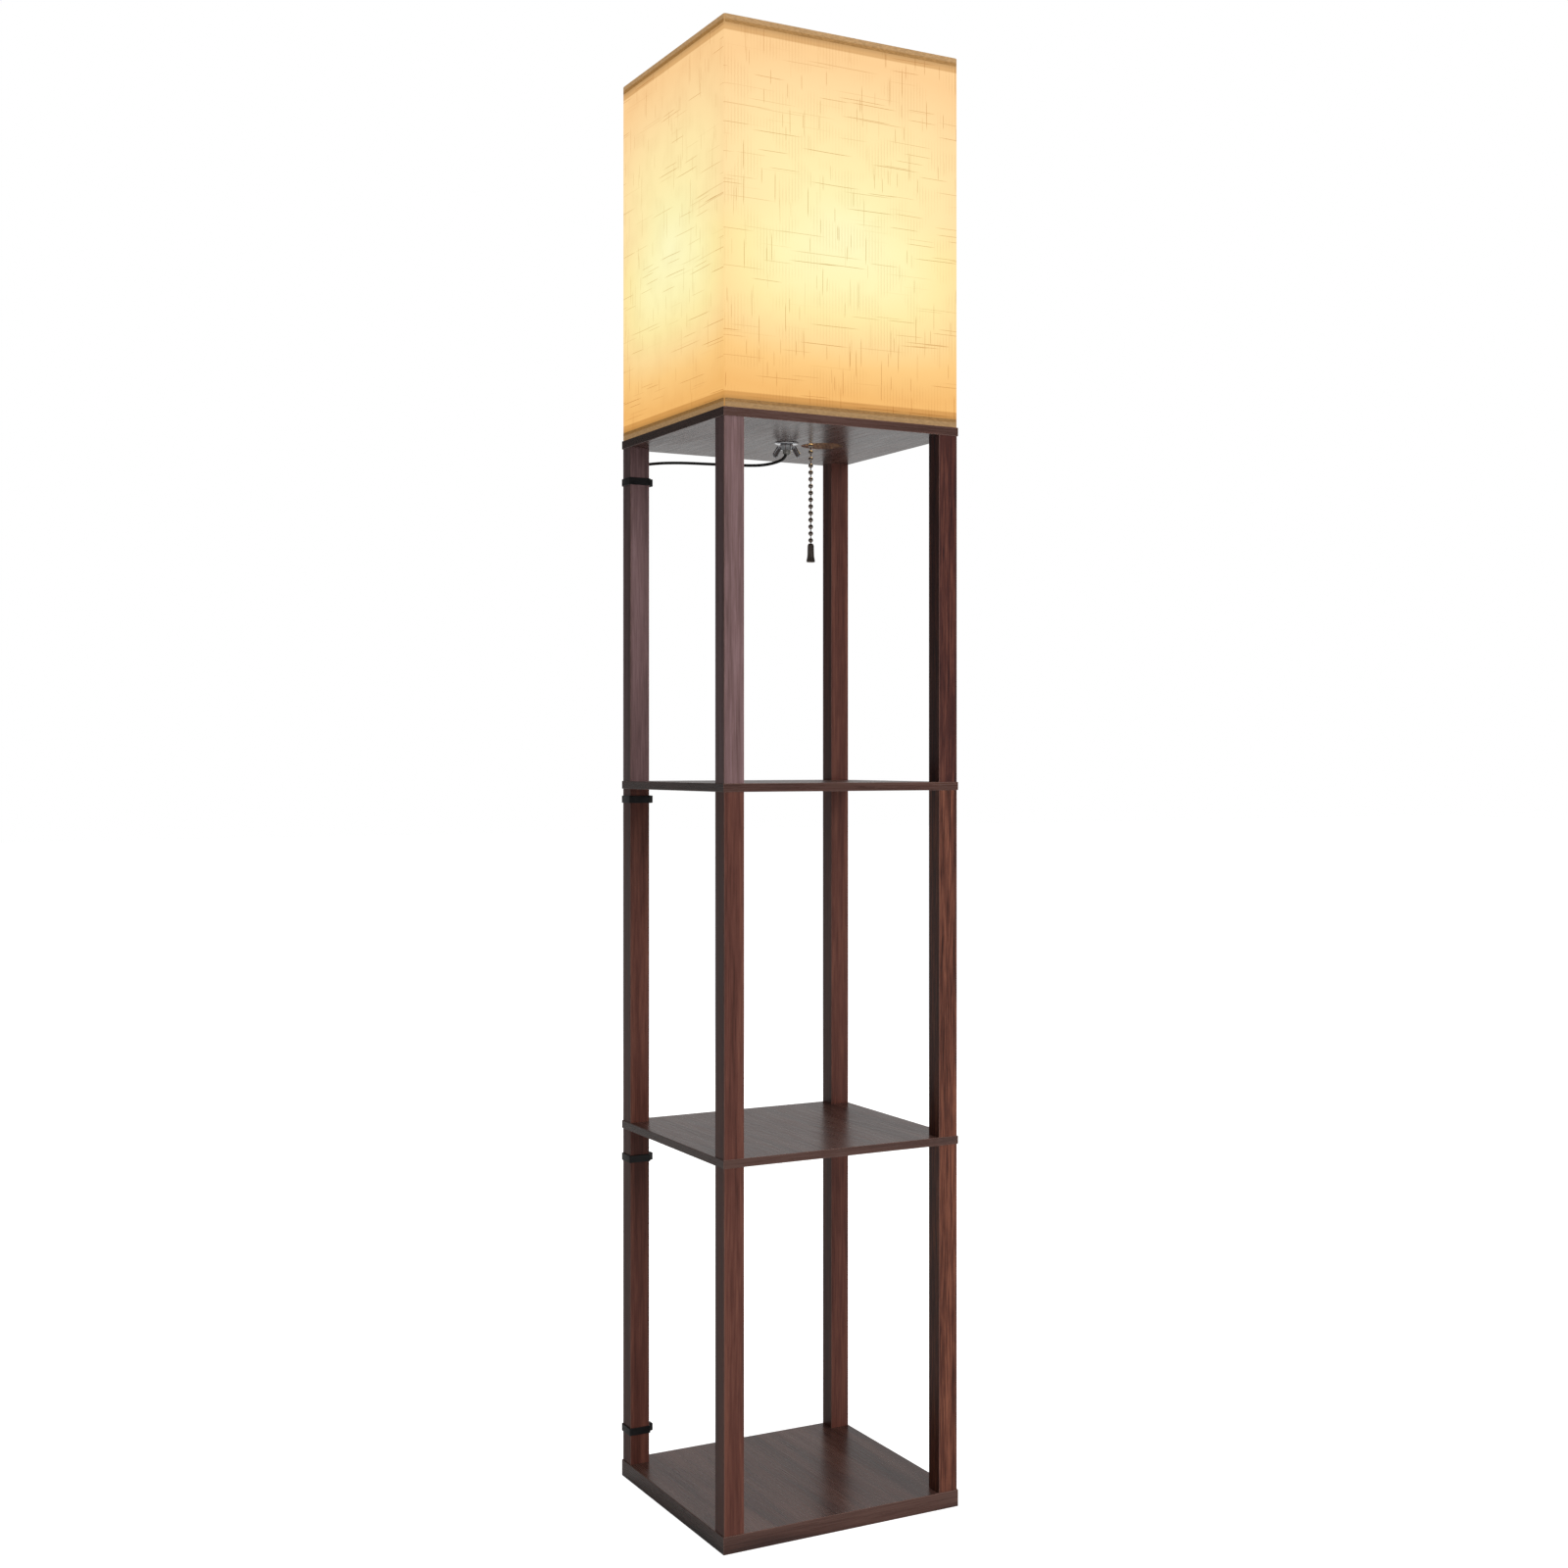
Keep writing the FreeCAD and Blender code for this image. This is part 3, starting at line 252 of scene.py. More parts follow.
studio = {
    "floorSide": 40.0,
    "floorDrop": 0.0004,
    "floorColour": "a6a5a3",
    "floorGlow": 1.0,       # the floor looks as white as the room,
    "floorNear": 0.10,      # and sends this much up round the lamp,
    "floorFar": 0.62,       # and this much a few metres behind it, below the backdrop
    "dark": 0.09,           # the room in front, and
    "bright": 0.46,         # its lit backdrop behind and to the right
    "backdrop": (0.45, 0.88, 0.15),
    "lamps": {              # name: (place, aimed at, width, height, watts, seen in gloss)
        "key": ((0.5, -3.1, 1.9), (0.0, 0.0, 0.9), 2.0, 1.7, 58.0, False),
        "sheen": ((0.5, -3.1, 1.9), (0.0, 0.0, 0.9), 2.0, 1.7, 22.0, True),
        "low": ((1.9, -2.2, 0.5), (0.0, 0.0, 0.4), 1.0, 0.9, 16.0, False),
        "top": ((0.2, -0.2, 3.4), (0.0, 0.0, 1.0), 1.4, 1.4, 20.0, True),
        "rear": ((0.9, 2.9, 2.3), (0.0, 0.0, 0.4), 1.8, 1.5, 60.0, False),
    },
}


def paleFloor():
    # white to the camera; to the lamp it is dim near by and lit below the backdrop
    material, tree = startMaterial("paleFloor")
    seen = addNode(tree, "LightPath")
    place = addNode(tree, "TexCoord")
    along = addNode(tree, "VectorMath", {0: place.outputs["Object"], 1: studio["backdrop"]}, operation="DOT_PRODUCT")
    lit = addNode(tree, "MapRange", {"Value": along.outputs["Value"], "From Min": 1.0, "From Max": 5.0,
                                     "To Min": studio["floorNear"], "To Max": studio["floorFar"]})
    glow = addNode(tree, "MapRange", {"Value": seen.outputs["Is Camera Ray"], "To Min": lit,
                                      "To Max": studio["floorGlow"]})
    skin = addNode(tree, "BsdfPrincipled", {"Base Color": linear(studio["floorColour"]), "Roughness": 0.9,
                                            "Emission Color": (1, 1, 1, 1), "Emission Strength": glow})
    addNode(tree, "OutputMaterial", {"Surface": skin})
    return material


side = studio["floorSide"] / 2
floorMesh = bpy.data.meshes.new("floor")
level = -studio["floorDrop"]
floorMesh.from_pydata([(-side, -side, level), (side, -side, level), (side, side, level), (-side, side, level)],
                      [], [(0, 1, 2, 3)])
floorMesh.materials.append(paleFloor())
floor = bpy.data.objects.new("floor", floorMesh)
scene.collection.objects.link(floor)

# the room: white where the camera sees it; the lamp mirrors a dim front and a lit backdrop
world = bpy.data.worlds.new("room")
world.use_nodes = True
room = world.node_tree
room.nodes.clear()
seen = addNode(room, "LightPath")
towards = addNode(room, "TexCoord")
axis = np.array(studio["backdrop"]) / np.linalg.norm(studio["backdrop"])
facing = addNode(room, "VectorMath", {0: towards.outputs["Generated"], 1: axis}, operation="DOT_PRODUCT")
lit = addNode(room, "MapRange", {"Value": facing.outputs["Value"], "From Min": 0.7, "From Max": 0.98,
                                 "To Min": studio["dark"], "To Max": studio["bright"]},
              interpolation_type="SMOOTHSTEP")
seenWhite = addNode(room, "Background", {"Color": (1, 1, 1, 1), "Strength": 1.0})
lighting = addNode(room, "Background", {"Color": (1, 1, 1, 1), "Strength": lit.outputs[0]})
mixed = addNode(room, "MixShader", {0: seen.outputs["Is Camera Ray"], 1: lighting, 2: seenWhite})
addNode(room, "OutputWorld", {"Surface": mixed})
scene.world = world

for name, (place, aim, width, height, watts, inGloss) in studio["lamps"].items():
    lightData = bpy.data.lights.new(name, "AREA")
    lightData.shape = "RECTANGLE"
    lightData.size = width
    lightData.size_y = height
    lightData.energy = watts
    light = bpy.data.objects.new(name, lightData)
    light.location = place
    light.visible_glossy = inGloss
    light.rotation_euler = (Vector(aim) - Vector(place)).to_track_quat("-Z", "Y").to_euler()
    scene.collection.objects.link(light)
print("camera, floor and light")


# the lead, its hank and its plug

def glossyJacket():
    # PVC cord jacket, extruded: near black, smooth and shiny, with faint drawn lines along it
    material, tree = startMaterial("pvcJacketExtruded")
    place = addNode(tree, "TexCoord")
    rub = addNode(tree, "TexNoise", {"Vector": place.outputs["Object"], "Scale": 900.0, "Detail": 2.0})
    shade = addNode(tree, "ValToRGB", {"Fac": rub}, [(0.35, "050505"), (0.7, "0d0d0d")])
    rough = addNode(tree, "MapRange", {"Value": rub, "To Min": 0.2, "To Max": 0.34})
    dent = addNode(tree, "Bump", {"Height": rub, "Strength": 0.15, "Distance": 0.0002})
    skin = addNode(tree, "BsdfPrincipled", {"Base Color": shade, "Roughness": rough.outputs[0], "Normal": dent,
                                            "IOR": 1.52})
    addNode(tree, "OutputMaterial", {"Surface": skin})
    return material


def mouldedBlack(name, dark, light, low, high, grain):
    # black plastic from a mould: fine grain breaks the gloss a little, and handling has greyed it in patches
    material, tree = startMaterial(name)
    place = addNode(tree, "TexCoord")
    fine = addNode(tree, "TexNoise", {"Vector": place.outputs["Object"], "Scale": grain, "Detail": 3.0})
    wide = addNode(tree, "TexNoise", {"Vector": place.outputs["Object"], "Scale": 60.0, "Detail": 2.0})
    shade = addNode(tree, "ValToRGB", {"Fac": wide}, [(0.3, dark), (0.75, light)])
    rough = addNode(tree, "MapRange", {"Value": fine, "From Min": 0.3, "From Max": 0.7, "To Min": low, "To Max": high})
    dent = addNode(tree, "Bump", {"Height": fine, "Strength": 0.25, "Distance": 0.0001})
    skin = addNode(tree, "BsdfPrincipled", {"Base Color": shade, "Roughness": rough.outputs[0], "Normal": dent,
                                            "IOR": 1.5})
    addNode(tree, "OutputMaterial", {"Surface": skin})
    return material


jacket = glossyJacket()
tieNylon = mouldedBlack("nylonMoulded", "0f0f10", "1c1c1d", 0.32, 0.5, 1600.0)
plugPlastic = mouldedBlack("pvcPlugMoulded", "121213", "1f1f20", 0.38, 0.55, 2600.0)

lead = {
    "across": 0.0034,
    "length": 1.93,
    "exit": 1.1755,
    "behind": (-0.1290, 0.14345),       # where it runs down behind the rear left post
    "towards": (-0.6318, 0.7751),
    "span": 0.16508,
}
# (distance from the tube's axis, level) of the droop from the tube's foot towards the post
droop = [(0.0, 1.1755), (0.0, 1.1708), (0.0032, 1.1652), (0.0095, 1.1622), (0.020, 1.1599), (0.034, 1.1587),
         (0.056, 1.1599), (lead["span"] - 0.073, 1.1630), (lead["span"] - 0.038, 1.1662),
         (lead["span"] - 0.015, 1.1674), (lead["span"], 1.1675)]
leadX, leadY = lead["behind"]
route = [(lead["towards"][0] * reach, lead["towards"][1] * reach, height) for reach, height in droop]
# round the rear of the post, down through the ties and out along the floor
route += [(leadX + 0.0113, leadY + 0.0046, 1.1669), (leadX + 0.0016, leadY + 0.0036, 1.1607), (leadX, leadY, 1.1510),
          (leadX + 0.0006, leadY, 0.7795), (leadX - 0.0003, leadY, 0.3680), (leadX + 0.0002, leadY, 0.0430),
          (leadX + 0.0008, leadY + 0.0006, 0.0280), (leadX + 0.0038, leadY + 0.0030, 0.0130),
          (leadX + 0.0150, leadY + 0.0086, 0.0026), (-0.0974, 0.1624, 0.00185), (-0.0814, 0.1703, 0.00175)]

hank = {
    "middle": (-0.040, 0.1558),
    "halfRun": 0.030,
    "ends": (0.0145, 0.01235, 0.0102, 0.01235, 0.0145),     # how far each run's ends are from the middle line
    "waists": (0.0083, 0.0040, 0.0040, 0.0040, 0.0083),
    "floor": 0.00175,
    "layer": 0.0043,
    "overWrap": 0.0009,
}
hankX, hankY = hank["middle"]
for k in range(5):
    heading, flank = (1, 1) if k % 2 == 0 else (-1, -1)
    low = hank["floor"] + (hank["layer"] if k > 2 else 0.0)
    climb = hank["layer"] if k == 2 else 0.0
    for along, wide, part, lift in ((-0.024, hank["ends"][k], 0.0, 0.0), (-0.008, hank["waists"][k], 0.3, 1.0),
                                    (0.008, hank["waists"][k], 0.7, 1.0), (0.024, hank["ends"][k], 1.0, 0.0)):
        route.append((hankX + heading * along, hankY + flank * wide, low + climb * part + hank["overWrap"] * lift))
    if k < 4:
        # the turn between two runs: four points round half a circle
        near, far = flank * hank["ends"][k], -flank * hank["ends"][k + 1]
        radius, centre = abs(near - far) / 2, (near + far) / 2
        level = hank["floor"] + (hank["layer"] if k > 1 else 0.0)
        for turn in (-67.5, -22.5, 22.5, 67.5):
            reach = radius / math.cos(math.radians(22.5))
            route.append((hankX + heading * (hank["halfRun"] + reach * math.cos(math.radians(turn))),
                          hankY + centre - flank * reach * math.sin(math.radians(turn)), level))
route += [(0.0044, 0.1703, 0.00605), (0.0190, 0.1536, 0.0053), (0.0350, 0.1536, 0.0053)]

leadCurve = bpy.data.curves.new("leadCord", "CURVE")
leadCurve.dimensions = "3D"
leadCurve.bevel_depth = lead["across"] / 2
leadCurve.bevel_resolution = 4
leadCurve.resolution_u = 10
leadCurve.use_fill_caps = True
spline = leadCurve.splines.new("NURBS")
spline.points.add(len(route) - 1)
spline.points.foreach_set("co", np.column_stack([np.array(route), np.ones(len(route))]).ravel())
spline.order_u = 3
spline.use_endpoint_u = True
leadCurve.materials.append(jacket)
leadCord = bpy.data.objects.new("leadCord", leadCurve)
scene.collection.objects.link(leadCord)
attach(leadCord, "lamp")
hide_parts("cord_lead", "cord_hank", "cord_tail")

plug = {
    "start": 0.052, "length": 0.026, "centre": (0.1536, 0.0053),
    "narrow": 0.0064, "wide": 0.0100, "thick": 0.0053,
    "reliefStart": 0.030, "reliefThin": 0.0024, "reliefThick": 0.0042, "ribs": 6,
}
plugY, plugZ = plug["centre"]
# the grip: a superellipse section whose half width grows from the lead's side, with shallow finger grooves
along = np.linspace(0, 1, 41)[:, None]
turn = np.linspace(0, 2 * math.pi, 48, endpoint=False)[None, :]
swell = np.clip(along / 0.34, 0, 1)
swell = swell * swell * (3 - 2 * swell)
roundEnd = np.minimum(along, 1 - along) * plug["length"] / 0.0016
close = 1 - 0.16 * np.clip(1 - roundEnd, 0, 1) ** 2
groove = 0.00035 * np.clip(np.sin((along - 0.30) / 0.5 * 5 * 2 * math.pi), 0, 1) * ((along > 0.3) & (along < 0.8))
halfWide = (plug["narrow"] + (plug["wide"] - plug["narrow"]) * swell) * close - groove
halfTall = plug["thick"] * close + 0 * along
square = 2 / 3.6
cosine, sine = np.cos(turn), np.sin(turn)
ring = np.stack([plug["start"] + along * plug["length"] + 0 * turn,
                 plugY + halfWide * np.sign(cosine) * np.abs(cosine) ** square,
                 plugZ + halfTall * np.sign(sine) * np.abs(sine) ** square], axis=-1)
caps = [np.broadcast_to([[[x, plugY, plugZ]]], (1, 48, 3)) for x in (plug["start"], plug["start"] + plug["length"])]
plugBody = makePiece("plugBody", [gridPart(np.concatenate([caps[0], ring, caps[1]], axis=0))], plugPlastic, "lamp",
                     ["plug_body"], sharpAngle=50)

# the strain relief: a taper with ring cuts, turned round the lead's line
taper = np.linspace(0, 1, 73)
cuts = 0.00045 * (np.abs((taper * plug["ribs"]) % 1 - 0.5) < 0.2) * (taper > 0.12)
radius = plug["reliefThin"] + (plug["reliefThick"] - plug["reliefThin"]) * taper - cuts
radius = np.concatenate([[lead["across"] / 2 - 0.0001], radius, [0.0]])
taper = np.concatenate([[0.0], taper, [1.0]]) * 0.022
turn = np.linspace(0, 2 * math.pi, 32, endpoint=False)[None, :]
relief = np.stack([plug["reliefStart"] + taper[:, None] + 0 * turn, plugY + radius[:, None] * np.cos(turn),
                   plugZ + radius[:, None] * np.sin(turn)], axis=-1)
back = np.broadcast_to([[[plug["reliefStart"], plugY, plugZ]]], (1, 32, 3))
plugRelief = makePiece("plugRelief", [gridPart(np.concatenate([back, relief], axis=0))], plugPlastic, "lamp",
                       ["plug_relief"], sharpAngle=28)

tie = {
    "levels": (1.1440, 0.7795, 0.3680, 0.0560),
    "thick": 0.0013, "halfWide": 0.0041,
    "post": (-0.14055, -0.11745, 0.11745, 0.14055),      # the strap's inner faces round the post: x, x, y, y
    "overLead": 0.1452, "leadReach": 0.0024,
    "head": (-0.1168, -0.1108, 0.12295, 0.13195, 0.0047),   # x, x, y, y and half the height
    "round": 0.0004,
}
left, right, near, far = tie["post"]
strapLoop, strapOut = roundedLoop(
    [(left, near), (right, near), (right, far), (leadX + tie["leadReach"], tie["overLead"]),
     (leadX - tie["leadReach"], tie["overLead"]), (left, far)], tie["round"], steps=5)
for k, level in enumerate(tie["levels"]):
    wide, thick = tie["halfWide"], tie["thick"]
    strap = sleevePart(strapLoop, strapOut, [(0.0, level - wide), (thick, level - wide), (thick, level + wide),
                                             (0.0, level + wide)])
    x0, x1, y0, y1, tall = tie["head"]
    # the head narrows outwards, and the strap's cut end stands out of it
    flare = 0.0006
    outline = [(y0, level - tall), (y1, level - tall), (y1, level + tall), (y0, level + tall)]
    head = prismPart(outline, x0, x1, lambda p: np.column_stack([p[:, 2], p[:, 0], p[:, 1]]))
    outer = head[0][:, 0] > (x0 + x1) / 2
    middle = np.array([(y0 + y1) / 2, level])
    head[0][outer, 1:] = middle + (head[0][outer, 1:] - middle) * (1 - flare / tall)
    mouth = [(y0 + 0.0016, level - 0.0032), (y1 - 0.0016, level - 0.0032), (y1 - 0.0016, level + 0.0032),
             (y0 + 0.0016, level + 0.0032)]
    boss = prismPart(mouth, x1 - 0.0012, x1 - 0.0001, lambda p: np.column_stack([p[:, 2], p[:, 0], p[:, 1]]))
    endX = x0 + 0.0033 - 0.00065
    tail = prismPart([(y1 - 0.001, level - 0.00287), (y1 + 0.0013, level - 0.00287), (y1 + 0.0013, level + 0.00287),
                      (y1 - 0.001, level + 0.00287)], endX, endX + 0.0024,
                     lambda p: np.column_stack([p[:, 2], p[:, 0], p[:, 1]]))
    makePiece("cableTie%d" % (k + 1), [strap, head, tail], tieNylon, "lamp",
                               ["cable_tie_%d" % (k + 1)], bevel=0.00035)

wrap = {"x": (-0.0435, -0.0365), "inner": (0.14982, 0.16608, 0.0006, 0.00886), "thick": 0.0006, "round": 0.0015}
y0, y1, z0, z1 = wrap["inner"]
wrapLoop, wrapOut = roundedLoop([(y0, z0), (y1, z0), (y1, z1), (y0, z1)], wrap["round"], steps=8)
grid = sleevePart(wrapLoop, wrapOut, [(0.0, wrap["x"][0]), (wrap["thick"], wrap["x"][0]), (wrap["thick"], wrap["x"][1]),
                                      (0.0, wrap["x"][1])])
hankTie = makePiece("hankTie", [(grid[0][:, [2, 0, 1]], grid[1])], tieNylon, "lamp", ["hank_tie"])
print("lead, hank, plug and ties")


# wood

walnut = {                  # colours of the pores, the ground and the light bands, then gloss
    "boards": {"stops": ("3d2a26", "50362f", "5f443c"), "rough": 0.27, "specular": 0.42, "coat": 0.05, "pore": 0.4},
    # a greyed copy of the foil for the upper left posts: its greyer colours are a painted sheen of reflected light
    "paintedSheen": {"stops": ("624a49", "785c5c", "8a6e70"), "rough": 0.38, "specular": 0.3, "coat": 0.04, "pore": 0.5},
    "plain": {"stops": ("4b2b24", "623a31", "764a3d"), "rough": 0.38, "specular": 0.25, "coat": 0.02, "pore": 0.5},
    "mottled": {"stops": ("3a211c", "62392d", "875441"), "rough": 0.38, "specular": 0.2, "coat": 0.02, "pore": 0.65},
    # a darker copy of the foil for the upper front right post: painted shade, as if under the top board
    "paintedShade": {"stops": ("2f1c1d", "4c2a25", "6c4135"), "rough": 0.38, "specular": 0.2, "coat": 0.02, "pore": 0.65},
    "edge": "9a7a70",       # the foil's rounded edges are lighter: partly rubbed wear, partly a painted highlight
    "raw": ("4d4148", "6b5c62"),
}


def walnutFoil(name, look, board=False):
    # printed walnut foil on fibreboard, satin lacquered: dark pores along the grain, broad soft bands of colour,
    # a gloss that the pores break up, and edges painted lighter, partly rubbed wear and partly a painted highlight;
    # pores are 0.6 mm apart and drawn at 2 mm so that they show
    material, tree = startMaterial(name)
    place = addNode(tree, "TexCoord")
    vector = place.outputs["Object"]
    upright = addNode(tree, "VectorMath", {0: place.outputs["Normal"]}, operation="ABSOLUTE")
    facing = addNode(tree, "SeparateXYZ", {0: upright})
    if board:
        # a board's grain runs along Y, and along X on the foil of its front and rear edges
        edge = addNode(tree, "Math", {0: facing.outputs["Y"], 1: 0.7}, operation="GREATER_THAN")
        parts = addNode(tree, "SeparateXYZ", {0: vector})
        turned = addNode(tree, "CombineXYZ", {"X": parts.outputs["Y"], "Y": parts.outputs["X"],
                                              "Z": parts.outputs["Z"]})
        chosen = addNode(tree, "Mix", {0: edge, 4: vector, 5: turned}, data_type="VECTOR")
        vector, fineScale, bandScale = chosen.outputs[1], (500.0, 16.0, 500.0), (55.0, 3.0, 55.0)
    else:
        fineScale, bandScale = (500.0, 500.0, 22.0), (95.0, 95.0, 4.0)
    fine = addNode(tree, "TexNoise", {"Vector": addNode(tree, "Mapping", {"Vector": vector, "Scale": fineScale}),
                                      "Scale": 1.0, "Detail": 3.0, "Roughness": 0.65})
    band = addNode(tree, "TexNoise", {"Vector": addNode(tree, "Mapping", {"Vector": vector, "Scale": bandScale}),
                                      "Scale": 1.0, "Detail": 3.0, "Distortion": 0.6})
    tone = addNode(tree, "Mix", {0: look["pore"], 2: band, 3: fine}, data_type="FLOAT")
    colour = addNode(tree, "ValToRGB", {"Fac": tone}, list(zip((0.36, 0.5, 0.64), look["stops"])))
    # on the rounded edges, where the normal leaves the flat faces, the colour is painted lighter: partly rubbed wear,
    # partly a painted highlight
    level = addNode(tree, "Math", {0: facing.outputs["X"], 1: facing.outputs["Y"]}, operation="MAXIMUM")
    level = addNode(tree, "Math", {0: level, 1: facing.outputs["Z"]}, operation="MAXIMUM")
    wearAndHighlight = addNode(tree, "MapRange", {"Value": level, "From Min": 0.98, "From Max": 0.9, "To Max": 0.45})
    colour = addNode(tree, "Mix", {0: wearAndHighlight, 6: colour, 7: linear(walnut["edge"])}, data_type="RGBA")
    gloss = addNode(tree, "MapRange", {"Value": fine, "From Min": 0.3, "From Max": 0.7, "To Min": look["rough"] - 0.05,
                                       "To Max": look["rough"] + 0.08})
    dent = addNode(tree, "Bump", {"Height": fine, "Strength": 0.1 if board else 0.25, "Distance": 0.0001})
    skin = addNode(tree, "BsdfPrincipled", {"Base Color": colour, "Roughness": gloss, "Normal": dent, "IOR": 1.5,
                                            "Specular IOR Level": look["specular"], "Coat Weight": look["coat"],
                                            "Coat Roughness": 0.2})
    addNode(tree, "OutputMaterial", {"Surface": skin})
    return material, tree, place, colour, skin


boardWood = walnutFoil("walnutFoilBoards", walnut["boards"], board=True)[0]
paintedSheenWood = walnutFoil("walnutFoilPaintedSheen", walnut["paintedSheen"])[0]
plainWood = walnutFoil("walnutFoilPlain", walnut["plain"])[0]
mottledWood = walnutFoil("walnutFoilMottled", walnut["mottled"])[0]
paintedShadeWood = walnutFoil("walnutFoilPaintedShade", walnut["paintedShade"])[0]


def topBoardWood():
    # as the other boards, and raw fibreboard shows on the wall of the chain's hole
    material, tree, place, colour, skin = walnutFoil("walnutFoilTopBoard", walnut["boards"], board=True)
    parts = addNode(tree, "SeparateXYZ", {0: place.outputs["Object"]})
    facing = addNode(tree, "SeparateXYZ", {0: place.outputs["Normal"]})
    flat = addNode(tree, "CombineXYZ", {"X": parts.outputs["X"], "Y": parts.outputs["Y"]})
    reach = addNode(tree, "VectorMath", {0: flat, 1: (0.045, 0.0, 0.0)}, operation="DISTANCE")
    inside = addNode(tree, "Math", {0: reach.outputs["Value"], 1: 0.0246}, operation="LESS_THAN")
    level = addNode(tree, "Math", {0: facing.outputs["Z"]}, operation="ABSOLUTE")
    wall = addNode(tree, "Math", {0: level, 1: 0.5}, operation="LESS_THAN")
    raw = addNode(tree, "Math", {0: inside, 1: wall}, operation="MULTIPLY")
    fibre = addNode(tree, "TexNoise", {"Vector": place.outputs["Object"], "Scale": 1500.0, "Detail": 3.0})
    board = addNode(tree, "ValToRGB", {"Fac": fibre}, list(zip((0.3, 0.7), walnut["raw"])))
    shown = addNode(tree, "Mix", {0: raw, 6: colour.outputs[2], 7: board}, data_type="RGBA")
    tree.links.new(shown.outputs[2], skin.inputs["Base Color"])
    return material


coat(["base_board", "lower_shelf", "upper_shelf"], boardWood)
coat(["top_board"], topBoardWood())
# the upper left posts take the painted sheen
coat(["post_upper_front_left", "post_upper_rear_left"], paintedSheenWood)
coat(["post_upper_rear_right"], plainWood)
# the upper front right post takes the painted shade
coat(["post_upper_front_right"], paintedShadeWood)
for storey in ("lower", "middle"):
    coat(["post_%s_%s" % (storey, corner) for corner in ("front_left", "rear_left", "rear_right")], plainWood)
    coat(["post_%s_front_right" % storey], mottledWood)
print("boards and posts")


# metal, card and plastic of the inner parts

def metal(name, tone, dull, low, high, scale, stretch=(1.0, 1.0, 1.0), depth=0.15):
    # a bare or plated metal: faint drawn or tumbled marks move its roughness, and its tone dulls in patches
    material, tree = startMaterial(name)
    place = addNode(tree, "TexCoord")
    spread = addNode(tree, "Mapping", {"Vector": place.outputs["Object"], "Scale": stretch})
    marks = addNode(tree, "TexNoise", {"Vector": spread, "Scale": scale, "Detail": 3.0})
    patch = addNode(tree, "TexNoise", {"Vector": place.outputs["Object"], "Scale": 70.0, "Detail": 2.0})
    colour = addNode(tree, "ValToRGB", {"Fac": patch}, [(0.3, dull), (0.65, tone)])
    rough = addNode(tree, "MapRange", {"Value": marks, "From Min": 0.3, "From Max": 0.7, "To Min": low, "To Max": high})
    dent = addNode(tree, "Bump", {"Height": marks, "Strength": depth, "Distance": 0.0001})
    skin = addNode(tree, "BsdfPrincipled", {"Base Color": colour, "Metallic": 1.0, "Roughness": rough.outputs[0],
                                            "Normal": dent})
    addNode(tree, "OutputMaterial", {"Surface": skin})
    return material


def powderCoat(name, light, dark, rough, peel):
    # powder coat over steel wire: an even colour with fine orange peel
    material, tree = startMaterial(name)
    place = addNode(tree, "TexCoord")
    skinNoise = addNode(tree, "TexNoise", {"Vector": place.outputs["Object"], "Scale": peel, "Detail": 2.0})
    colour = addNode(tree, "ValToRGB", {"Fac": skinNoise}, [(0.3, dark), (0.7, light)])
    gloss = addNode(tree, "MapRange", {"Value": skinNoise, "To Min": rough - 0.05, "To Max": rough + 0.08})
    dent = addNode(tree, "Bump", {"Height": skinNoise, "Strength": 0.3, "Distance": 0.0001})
    skin = addNode(tree, "BsdfPrincipled", {"Base Color": colour, "Roughness": gloss.outputs[0], "Normal": dent})
    addNode(tree, "OutputMaterial", {"Surface": skin})
    return material


zinc = metal("steelZincPlated", "c8c8c4", "9c9d99", 0.28, 0.45, 900.0)
chrome = metal("steelChromePlated", "e2e3e6", "c6c8cc", 0.05, 0.12, 500.0, depth=0.05)
nickel = metal("brassNickelPlated", "c2b6ac", "8f8279", 0.07, 0.14, 1200.0, depth=0.08)
brass = metal("brassPressedSatin", "d8b468", "a8853f", 0.24, 0.4, 700.0, (1.0, 1.0, 6.0))
aluminium = metal("aluminiumRolled", "d4d2ce", "aaa9a5", 0.22, 0.38, 900.0)
blackSteel = powderCoat("steelBlackCoat", "262626", "161616", 0.42, 900.0)
whiteWire = powderCoat("steelWhitePowderCoat", "f2f0ea", "dedbd2", 0.38, 800.0)
phenolic = mouldedBlack("phenolicMoulded", "17150f", "2a2620", 0.4, 0.6, 900.0)


def fibreCard():
    # grey-brown fibre sleeve, calendered: short fibres across the sheet
    material, tree = startMaterial("cardFibreSleeve")
    place = addNode(tree, "TexCoord")
    spread = addNode(tree, "Mapping", {"Vector": place.outputs["Object"], "Scale": (400.0, 400.0, 2400.0)})
    fibres = addNode(tree, "TexNoise", {"Vector": spread, "Scale": 1.0, "Detail": 4.0})
    colour = addNode(tree, "ValToRGB", {"Fac": fibres}, [(0.3, "8a7350"), (0.7, "b59b72")])
    dent = addNode(tree, "Bump", {"Height": fibres, "Strength": 0.4, "Distance": 0.0002})
    skin = addNode(tree, "BsdfPrincipled", {"Base Color": colour, "Roughness": 0.85, "Normal": dent})
    addNode(tree, "OutputMaterial", {"Surface": skin})
    return material


card = fibreCard()
coat(["post_inserts", "base_screws", "lower_studs", "upper_studs", "top_screws"], zinc)
coat(["plug_blades", "centre_contact"], brass)
coat(["socket_block"], phenolic)

